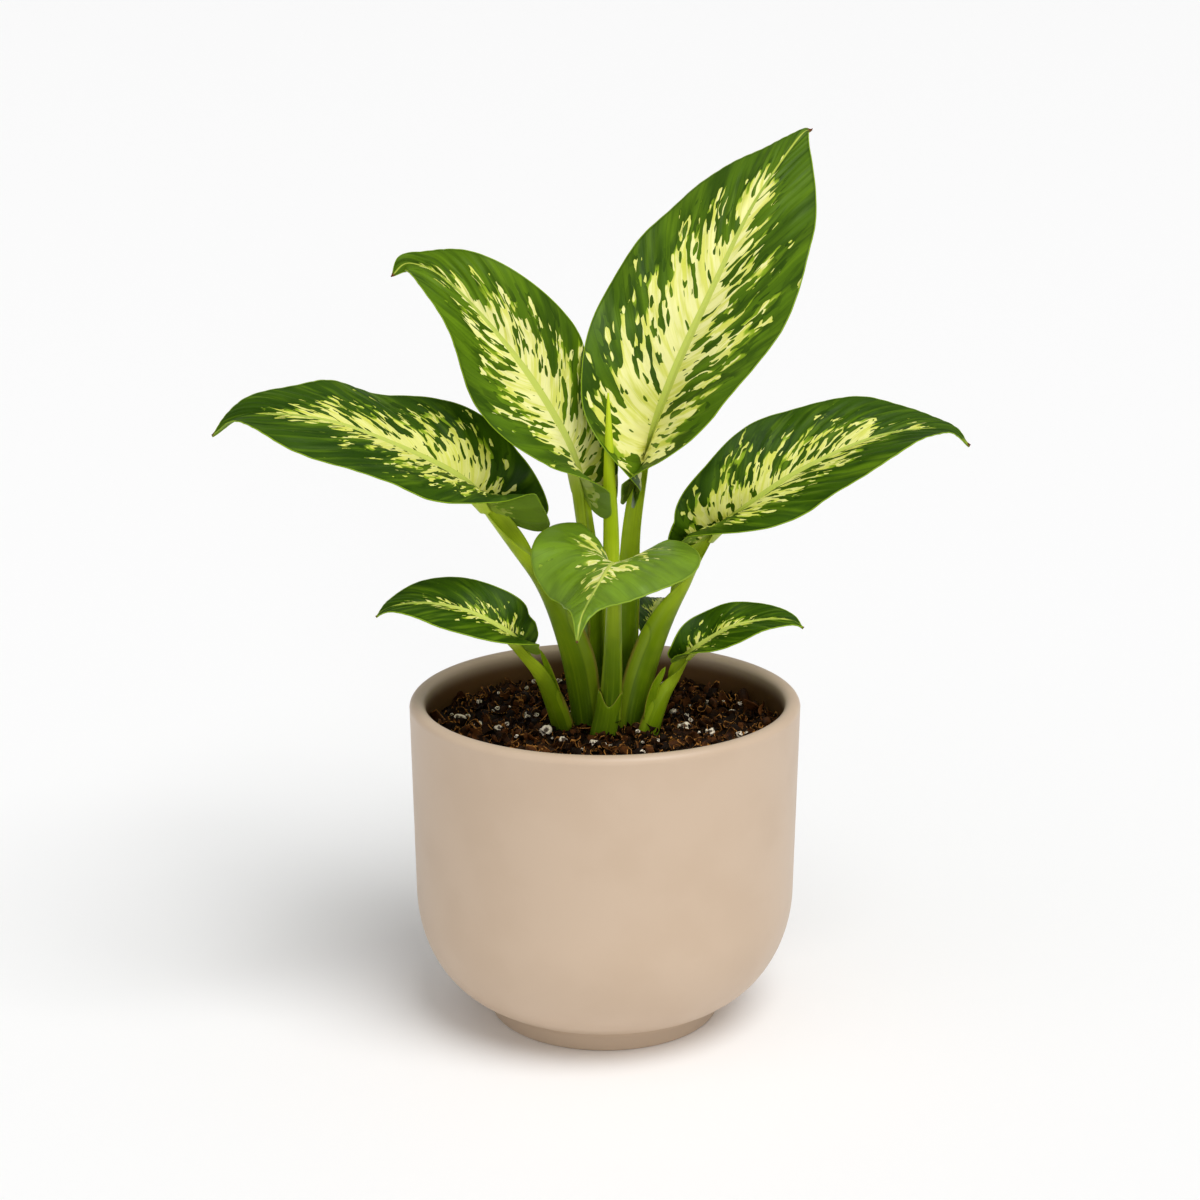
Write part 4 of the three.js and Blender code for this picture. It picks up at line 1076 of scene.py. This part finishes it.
    place = add(tree, "TexCoord").outputs["Object"]
    cells = add(tree, "TexNoise", {"Vector": place, "Scale": 1 / (CELL_SIZE * MM), "Detail": 3.0})
    lines = streaks(SKIN_LINES, seed=50.0)
    height = add(tree, "Math", {0: lines, 1: 3.0, 2: cells}, operation="MULTIPLY_ADD")
    bump = add(tree, "Bump", {"Strength": 0.5, "Distance": SKIN_RELIEF * MM, "Height": height})
    least, most = LEAF_ROUGHNESS
    rough = add(tree, "MapRange", {0: streaks(SKIN_PATCHES, seed=53.0), 3: least, 4: most})
    skin = add(tree, "BsdfPrincipled", {
        "Base Color": body, "Roughness": rough, "IOR": LEAF_IOR, "Normal": bump,
        "Specular IOR Level": leaf.get("gloss", LEAF_GLOSS)})
    glow = add(tree, "BsdfTranslucent", {"Color": body})
    both = add(tree, "MixShader", {0: LEAF_GLOW, 1: skin, 2: glow})
    add(tree, "OutputMaterial", {"Surface": both})
    return material


FIBRES_ROUND, FIBRE_LENGTH = 46.0, 25.0  # fibres in one turn of a stalk, and their length
STALK_CLOUDS, FIBRE_DEPTH = 11, 0.08  # size of the clouds, and how deep the fibres are
SHADED_CREASE, SHADED_CREASE_WIDTH = 0.74, 0.03  # how near the thin edge a sheath is creased, and half the width of the painted shade along the crease


def stalk_material(name, colours):
    """Leaf stalk: smooth, juicy tissue, dark at its foot and yellow-green where it is young. Fine lengthwise
    fibres show under a satin skin, and the thin edges of the sheath dry to brown."""
    material, tree = new_material(name)
    share = add(tree, "Attribute", attribute_name="share").outputs["Fac"]
    wing = add(tree, "Attribute", attribute_name="wing").outputs["Fac"]
    around_length = add(tree, "UVMap", uv_map="around_length")
    place = add(tree, "TexCoord").outputs["Object"]
    drawn_out = {0: around_length, 1: (FIBRES_ROUND, 1 / FIBRE_LENGTH, 1.0)}
    drawn_out = add(tree, "VectorMath", drawn_out, operation="MULTIPLY")
    fibres = add(tree, "TexNoise", {"Vector": drawn_out, "Scale": 1.0, "Detail": 3.0})
    clouds = add(tree, "TexNoise", {"Vector": place, "Scale": 1 / (STALK_CLOUDS * MM), "Detail": 2.0})
    body = cover(tree, colours["foot"], colours["middle"], share, low=0.1, high=0.5)
    body = cover(tree, body, colours["top"], share, low=0.45, high=0.95)
    body = cover(tree, body, colours["streak"], fibres, low=0.45, high=0.75, most=0.55)
    body = cover(tree, body, colours["foot"], clouds, low=0.62, high=0.35, most=0.35)
    body = cover(tree, body, colours["rib"], share, low=0.98, high=1.12)
    body = cover(tree, body, colours["rib_tip"], share, low=1.5, high=1.95)
    # The wings of the sheath are thin and lighter, with painted shade along the crease where they leave the
    # stalk.
    body = cover(tree, body, colours["top"], wing, low=0.72, high=0.8, most=0.3)
    crease_shade = add(tree, "Math", {0: wing, 1: SHADED_CREASE, 2: SHADED_CREASE_WIDTH}, operation="COMPARE")
    body = cover(tree, body, colours["foot"], crease_shade, most=0.25)
    body = cover(tree, body, colours["dry"], wing, low=0.975, high=1.0, most=0.75)
    bump = add(tree, "Bump", {"Strength": 0.5, "Distance": FIBRE_DEPTH * MM, "Height": fibres})
    skin = add(tree, "BsdfPrincipled", {
        "Base Color": body, "Roughness": 0.36, "IOR": LEAF_IOR, "Specular IOR Level": 0.13, "Normal": bump,
        "Subsurface Weight": 0.15, "Subsurface Radius": (1.0, 1.0, 0.3), "Subsurface Scale": 1.2 * MM})
    add(tree, "OutputMaterial", {"Surface": skin})
    return material


# Sizes of what the glaze shows, and how deep its grain is.
GLAZE_CLOUDS, GLAZE_WAVES, GLAZE_GRAIN, GLAZE_DEPTH = 26, 6, 0.6, 0.045
FOOT_SHADE_HEIGHTS = (6.5, 4.5)  # heights over which painted shade darkens the glaze towards the foot
INNER_SHADE_HEIGHTS = (POT["height"] + 1, SOIL_TOP + 4)  # from where to where the painted shade inside the wall deepens
INNER_SHADE_WALL = (1.2, 0.3)  # how far outside the wall's inner side at the rim it is gone, and is full
INNER_SHADE_END = (POT["waist_height"], 1.5 * POT["waist_height"])  # it fades in between these heights


def ceramic_material(colours):
    """Stoneware pot: cast, then dipped in a thin matt glaze. It gives a soft, even sheen and faint clouds
    where the glaze pooled; painted shade darkens the foot, and the inside wall above the soil."""
    material, tree = new_material("matt_glazed_stoneware")
    place = add(tree, "TexCoord").outputs["Object"]
    x, y, z = add(tree, "SeparateXYZ", {0: place}).outputs
    clouds = add(tree, "TexNoise", {"Vector": place, "Scale": 1 / (GLAZE_CLOUDS * MM), "Detail": 3.0})
    waves = add(tree, "TexNoise", {"Vector": place, "Scale": 1 / (GLAZE_WAVES * MM), "Detail": 2.0})
    grain = add(tree, "TexNoise", {"Vector": place, "Scale": 1 / (GLAZE_GRAIN * MM), "Detail": 2.0})
    body = cover(tree, colours["glaze"], colours["pooled"], clouds, low=0.4, high=0.7, most=0.5)
    body = cover(tree, body, colours["pooled"], grain, low=0.55, high=0.8, most=0.2)
    # Painted shade: darker towards the foot, where it turns under.
    start, end = FOOT_SHADE_HEIGHTS
    body = cover(tree, body, colours["clay"], z, low=start * MM, high=end * MM, most=0.6)
    # Inside the wall and below the lip, towards the soil, the glaze is darkened with painted shade.
    flat = add(tree, "CombineXYZ", {0: x, 1: y})
    radius = add(tree, "VectorMath", {0: flat}, operation="LENGTH").outputs["Value"]
    gone, full = (POT["rim_radius"] - POT["wall"] + reach for reach in INNER_SHADE_WALL)
    within = add(tree, "MapRange", {0: radius, 1: gone * MM, 2: full * MM})
    start, end = INNER_SHADE_HEIGHTS
    lower = add(tree, "MapRange", {0: z, 1: start * MM, 2: end * MM}, **SOFT)
    # The curve at the bottom is as narrow as the inside of the wall, so the painted shade ends above it.
    start, end = INNER_SHADE_END
    above = add(tree, "MapRange", {0: z, 1: start * MM, 2: end * MM})
    damp = add(tree, "Math", {0: within, 1: lower}, operation="MULTIPLY")
    damp = add(tree, "Math", {0: damp, 1: above}, operation="MULTIPLY")
    body = cover(tree, body, colours["damp"], damp, most=0.97)
    height = add(tree, "Math", {0: waves, 1: 1.5, 2: grain}, operation="MULTIPLY_ADD")
    bump = add(tree, "Bump", {"Strength": 0.35, "Distance": GLAZE_DEPTH * MM, "Height": height})
    rough = add(tree, "MapRange", {0: clouds, 3: 0.36, 4: 0.48})
    glaze = add(tree, "BsdfPrincipled", {"Base Color": body, "Roughness": rough, "IOR": 1.5, "Normal": bump})
    add(tree, "OutputMaterial", {"Surface": glaze})
    return material


BARK_FIBRES, BARK_DEPTH, PEAT_LUMPS = 0.8, 0.3, 4  # width and depth of the fibres, and the lumps' size


def soil_material(colours):
    """Potting mix: shredded bark, peat and coir, moist. It gives a rough, near-black brown, with thin bright
    rims where the shreds have dried."""
    material, tree = new_material("bark_and_peat")
    tone = add(tree, "Attribute", attribute_name="tone").outputs["Fac"]
    dry = add(tree, "Attribute", attribute_name="dry").outputs["Fac"]
    place = add(tree, "TexCoord").outputs["Object"]
    fibres = {"Vector": place, "Scale": 1 / (BARK_FIBRES * MM), "Detail": 4.0, "Roughness": 0.65}
    fibres = add(tree, "TexNoise", fibres)
    lumps = add(tree, "TexNoise", {"Vector": place, "Scale": 1 / (PEAT_LUMPS * MM), "Detail": 3.0})
    body = cover(tree, colours["dark"], colours["brown"], tone, low=0.15)
    body = cover(tree, body, colours["dark"], lumps, low=0.42, high=0.62, most=0.85)
    worn = add(tree, "Math", {0: dry, 1: fibres}, operation="MULTIPLY")
    body = cover(tree, body, colours["tan"], worn, low=0.24, high=0.46)
    bump = add(tree, "Bump", {"Strength": 0.9, "Distance": BARK_DEPTH * MM, "Height": fibres})
    crumbs = add(tree, "BsdfPrincipled", {
        "Base Color": body, "Roughness": 0.6, "IOR": 1.45, "Specular IOR Level": 0.1, "Normal": bump})
    add(tree, "OutputMaterial", {"Surface": crumbs})
    return material


FOAM_CELLS, FOAM_DEPTH = 0.8, 0.25  # size and depth of the foam's cells


def perlite_material(colours):
    """Perlite: volcanic glass that heat popped into white foam. It gives bright grains, with painted shade
    darkening their pores and pits.
    """
    material, tree = new_material("expanded_perlite")
    pit = add(tree, "Attribute", attribute_name="pit").outputs["Fac"]
    place = add(tree, "TexCoord").outputs["Object"]
    cells = add(tree, "TexVoronoi", {"Vector": place, "Scale": 1 / (FOAM_CELLS * MM)})
    # Painted shade: the foam's pores and the grain's pits are darkened.
    body = cover(tree, colours["white"], colours["pore"], cells, low=0.32, high=0.12, most=0.5)
    body = cover(tree, body, colours["pore"], pit, low=0.25, high=0.8)
    bump = add(tree, "Bump", {"Strength": 0.8, "Distance": FOAM_DEPTH * MM, "Height": cells})
    foam = add(tree, "BsdfPrincipled", {"Base Color": body, "Roughness": 0.7, "IOR": 1.5, "Normal": bump})
    add(tree, "OutputMaterial", {"Surface": foam})
    return material


PAINT_GRAIN, PAINT_DEPTH = 2, 0.05  # size and depth of the paint's grain


def floor_material(colour):
    """Studio floor: pale painted board, flat matt, so that it only takes the soft shadow."""
    material, tree = new_material("pale_painted_board")
    place = add(tree, "TexCoord").outputs["Object"]
    grain = add(tree, "TexNoise", {"Vector": place, "Scale": 1 / (PAINT_GRAIN * MM), "Detail": 2.0})
    bump = add(tree, "Bump", {"Strength": 0.1, "Distance": PAINT_DEPTH * MM, "Height": grain})
    paint = add(tree, "BsdfPrincipled", {"Base Color": colour, "Roughness": 0.9, "Normal": bump})
    add(tree, "OutputMaterial", {"Surface": paint})
    return material


# ------------------------------------------------------------------ stage

LIGHTS = ("key", "fill", "low")  # first words of their settings


def soft_sun(name, place, strength, spread):
    """A soft studio light as wide as spread, in radians, which shines from the way of place on everything."""
    light = bpy.data.lights.new(name, "SUN")
    light.energy = strength
    light.angle = spread
    lamp = bpy.data.objects.new(name, light)
    bpy.context.scene.collection.objects.link(lamp)
    lamp.rotation_euler = Vector(place).to_track_quat("Z", "Y").to_euler()


def build_stage(scene, settings):
    """A pale floor, an even white surround that lights less than it looks, three lights and the camera."""
    half = settings.floor_size / 2
    corners = [(-half, -half, 0), (half, -half, 0), (half, half, 0), (-half, half, 0)]
    mesh = bpy.data.meshes.new("studio_floor")
    mesh.from_pydata(corners, [], [(0, 1, 2, 3)])
    floor = bpy.data.objects.new("studio_floor", mesh)
    scene.collection.objects.link(floor)
    floor.data.materials.append(floor_material(settings.floor))

    world = bpy.data.worlds.new("soft_surround")
    world.use_nodes = True
    tree = world.node_tree
    tree.nodes.clear()
    seen = add(tree, "LightPath").outputs["Is Camera Ray"]
    strength = add(tree, "MapRange", {0: seen, 3: settings.surround, 4: settings.backdrop})
    sky = add(tree, "Background", {"Color": linear("#FFFFFF"), "Strength": strength})
    add(tree, "OutputWorld", {"Surface": sky})
    scene.world = world
    for name in LIGHTS:
        own = [getattr(settings, name + end) for end in ("_place", "_strength", "_spread")]
        soft_sun(name + "_light", *own)

    camera = bpy.data.objects.new("photo_camera", bpy.data.cameras.new("photo_camera"))
    camera.data.lens = settings.lens
    camera.data.clip_end = 2 * settings.floor_size
    camera.location = (0, -settings.distance, settings.height)
    camera.rotation_euler = (math.pi / 2 - settings.pitch, 0, settings.yaw)
    scene.collection.objects.link(camera)
    scene.camera = camera
    scene.view_settings.view_transform = "Standard"


# ------------------------------------------------------------------ settings


def colour(name, description, hex_value):
    """A colour setting whose default is an sRGB hex colour."""
    return FloatVectorProperty(
        name=name, description=description, subtype="COLOR", size=4, min=0, max=1, default=linear(hex_value))


def length(name, description, metres):
    """A length setting."""
    return FloatProperty(name=name, description=description, unit="LENGTH", default=metres, min=0)


def angle(name, description, radians, least=0):
    """An angle setting."""
    return FloatProperty(name=name, description=description, subtype="ANGLE", default=radians, min=least)


def strength(name, description, value):
    """A setting of how bright a light is."""
    return FloatProperty(name=name, description=description, default=value, min=0)


def direction(name, description, xyz):
    """A setting of the way that a light comes from."""
    return FloatVectorProperty(name=name, description=description, subtype="XYZ", default=xyz)


def count(name, description, value, least=1):
    """A whole number setting."""
    return IntProperty(name=name, description=description, default=value, min=least)


class LeafSettings(bpy.types.PropertyGroup):
    """Colours of the leaf blades"""

    cream: colour("Cream", "Pale middle of a blade, beside the midrib", "#FBF8A8")
    yellow: colour("Yellow", "Pale middle of a blade, towards its torn edge", "#DCE056")
    pale_vein: colour("Pale vein", "Side veins in the pale middle", "#F8F7BE")
    lime: colour("Lime", "Rim between pale and green, and the margin", "#8FAE22")
    # Painted sheen: the light bands, and the green of a leaf in the light.
    light_green: colour("Light green", "Light bands in the green", "#7EA31A")
    green: colour("Green", "Green part of a blade", "#436506")
    dark_green: colour("Dark green", "Dark patches of the green part", "#223F02")
    rib: colour("Midrib", "Blade beside its midrib", "#C0CE52")
    under: colour("Underside", "Tint of the underside", "#86A632")
    dry_tip: colour("Dry tip", "Dry tip of a blade", "#6A341A")


class StalkSettings(bpy.types.PropertyGroup):
    """Colours of the leaf stalks, the cane and the furled leaf"""

    foot: colour("Foot", "Leaf stalk at the soil", "#46620A")
    middle: colour("Middle", "Leaf stalk at half its length", "#78950A")
    top: colour("Top", "Leaf stalk at the blade", "#B2C928")
    streak: colour("Streak", "Fibres along a stalk", "#8EA61E")
    dry: colour("Dry edge", "Dry edge of a sheath", "#9A8438")
    rib: colour("Midrib", "Midrib at the foot of the blade", "#C0CC5E")
    rib_tip: colour("Midrib end", "Midrib towards the tip", "#7E9C34")
    young: colour("Young leaf", "The leaf that is still rolled up", "#A8C406")
    young_tip: colour("Young tip", "Its tip", "#CCDC30")


class SoilSettings(bpy.types.PropertyGroup):
    """What lies on the soil, and its colours"""

    shreds: count("Shreds", "Coarse shreds of bark on the soil", 1100)
    crumbs: count("Perlite crumbs", "Small perlite grains", 90)
    seed: count("Seed", "Seed of the places on the soil", 7, least=0)
    dark: colour("Dark", "Moist peat", "#1B0F06")
    brown: colour("Brown", "Bark", "#5C3413")
    tan: colour("Tan", "Dry rims of the shreds", "#C2843F")
    white: colour("Perlite", "Perlite foam", "#FFF0D6")
    # Painted shade in the perlite's pores and pits.
    pore: colour("Pores", "Pores in the perlite", "#5A4A3C")


class PotSettings(bpy.types.PropertyGroup):
    """Colours of the pot"""

    glaze: colour("Glaze", "Matt glaze of the pot", "#C6AF97")
    pooled: colour("Pooled glaze", "Clouds where the glaze is thicker", "#BFA78E")
    # Painted shade on the foot, where it turns under.
    clay: colour("Clay", "Thin glaze at the foot", "#BFA991")
    # Painted shade on the inside wall, above the soil.
    damp: colour("Damp", "Stain inside the wall, above the soil", "#5A3A12")


class StageSettings(bpy.types.PropertyGroup):
    """The floor, the lights and the camera"""

    floor: colour("Floor", "Studio floor", "#FAFAFA")
    floor_size: length("Floor size", "Side of the floor", 80)
    backdrop: strength("Backdrop", "Brightness of the surround as seen", 0.97)
    surround: strength("Surround", "Light from all round", 0.42)
    key_strength: strength("Key", "Strength of the main light", 2.1)
    key_place: direction("Key place", "Where the main light shines from", (0.6, -0.8, 1.6))
    key_spread: angle("Key spread", "Width of the main light", 0.7)
    fill_strength: strength("Fill", "Strength of the second light", 0.2)
    fill_place: direction("Fill place", "Where the second light shines from", (-0.9, -0.8, 0.9))
    fill_spread: angle("Fill spread", "Width of the second light", 1.2)
    low_strength: strength("Low", "Strength of the light near the floor", 0.35)
    low_place: direction("Low place", "Where the light near the floor shines from", (0.15, -1, 0.12))
    low_spread: angle("Low spread", "Width of the light near the floor", 0.2)
    lens: FloatProperty(name="Lens", description="Focal length", unit="CAMERA", default=70.32, min=1)
    distance: length("Distance", "Camera in front of the pot's middle", 0.7472)
    height: length("Height", "Camera above the floor", 0.3459)
    pitch: angle("Pitch", "How far the camera looks down", math.radians(15.13), least=-math.pi)
    yaw: angle("Yaw", "How far the camera looks to the left", math.radians(0.12), least=-math.pi)


def shades(settings):
    """The colours of a settings group, by name."""
    return {key: list(getattr(settings, key)) for key, prop in settings.bl_rna.properties.items()
            if prop.type == "FLOAT" and prop.subtype == "COLOR"}


# ------------------------------------------------------------------ operators


class PLANT_OT_stage(bpy.types.Operator):
    """Set up the floor, the lights and the camera"""

    bl_idname = "plant.stage"
    bl_label = "Studio stage"

    def execute(self, context):
        build_stage(context.scene, context.scene.plant_stage)
        return {"FINISHED"}


class PLANT_OT_pot(bpy.types.Operator):
    """Build the ceramic pot"""

    bl_idname = "plant.pot"
    bl_label = "Ceramic pot"

    def execute(self, context):
        build_pot(ceramic_material(shades(context.scene.plant_pot)))
        return {"FINISHED"}


class PLANT_OT_soil(bpy.types.Operator):
    """Build the potting soil with its shreds of bark"""

    bl_idname = "plant.soil"
    bl_label = "Potting soil"

    def execute(self, context):
        settings = context.scene.plant_soil
        build_soil(soil_material(shades(settings)), settings.shreds, settings.seed)
        return {"FINISHED"}


class PLANT_OT_perlite(bpy.types.Operator):
    """Build the perlite grains"""

    bl_idname = "plant.perlite"
    bl_label = "Perlite"

    def execute(self, context):
        settings = context.scene.plant_soil
        build_perlite(perlite_material(shades(settings)), settings.crumbs, settings.seed)
        return {"FINISHED"}


class PLANT_OT_blades(bpy.types.Operator):
    """Build the leaf blades"""

    bl_idname = "plant.blades"
    bl_label = "Leaf blades"

    def execute(self, context):
        colours = shades(context.scene.plant_leaf)
        for name, leaf in LEAVES.items():
            build_blade(name, leaf, leaf_material(name, leaf, colours))
        return {"FINISHED"}


class PLANT_OT_stalks(bpy.types.Operator):
    """Build the leaf stalks with their midribs, and the cane in its sheath"""

    bl_idname = "plant.stalks"
    bl_label = "Leaf stalks and cane"

    def execute(self, context):
        material = stalk_material("leaf_stalk_tissue", shades(context.scene.plant_stalk))
        for name, leaf in LEAVES.items():
            build_stalk(name, leaf, material)
        build_cane(material)
        return {"FINISHED"}


class PLANT_OT_spear(bpy.types.Operator):
    """Build the young leaf that is still rolled up"""

    bl_idname = "plant.spear"
    bl_label = "Furled leaf"

    def execute(self, context):
        colours = shades(context.scene.plant_stalk)
        young, tip = colours["young"], colours["young_tip"]
        colours.update(foot=colours["top"], middle=young, top=tip, streak=tip)
        build_spear(stalk_material("young_leaf_tissue", colours))
        return {"FINISHED"}


class PLANT_PT_panel(bpy.types.Panel):
    """Lists the pieces of the plant, in the order in which they are built, and their settings"""

    bl_label = "Dieffenbachia"
    bl_idname = "PLANT_PT_panel"
    bl_space_type = "VIEW_3D"
    bl_region_type = "UI"
    bl_category = "Dieffenbachia"

    def draw(self, context):
        for operator in OPERATORS:
            self.layout.operator(operator.bl_idname)
        for group, kind in GROUPS.items():
            box = self.layout.box()
            for key in kind.__annotations__:
                box.prop(getattr(context.scene, group), key)


OPERATORS = (
    PLANT_OT_stage, PLANT_OT_pot, PLANT_OT_soil, PLANT_OT_perlite, PLANT_OT_blades, PLANT_OT_stalks,
    PLANT_OT_spear,
)
GROUPS = {
    "plant_leaf": LeafSettings,
    "plant_stalk": StalkSettings,
    "plant_soil": SoilSettings,
    "plant_pot": PotSettings,
    "plant_stage": StageSettings,
}


def register():
    """Registers the settings, the operators and the panel."""
    for group, kind in GROUPS.items():
        bpy.utils.register_class(kind)
        setattr(bpy.types.Scene, group, PointerProperty(type=kind))
    for kind in (*OPERATORS, PLANT_PT_panel):
        bpy.utils.register_class(kind)


def unregister():
    """Takes them away again."""
    for kind in (PLANT_PT_panel, *reversed(OPERATORS)):
        bpy.utils.unregister_class(kind)
    for group, kind in reversed(GROUPS.items()):
        delattr(bpy.types.Scene, group)
        bpy.utils.unregister_class(kind)


def main():
    """Builds everything."""
    register()
    bpy.ops.plant.stage()
    bpy.ops.plant.pot()
    bpy.ops.plant.soil()
    bpy.ops.plant.perlite()
    bpy.ops.plant.blades()
    bpy.ops.plant.stalks()
    bpy.ops.plant.spear()


if __name__ == "__main__":
    main()
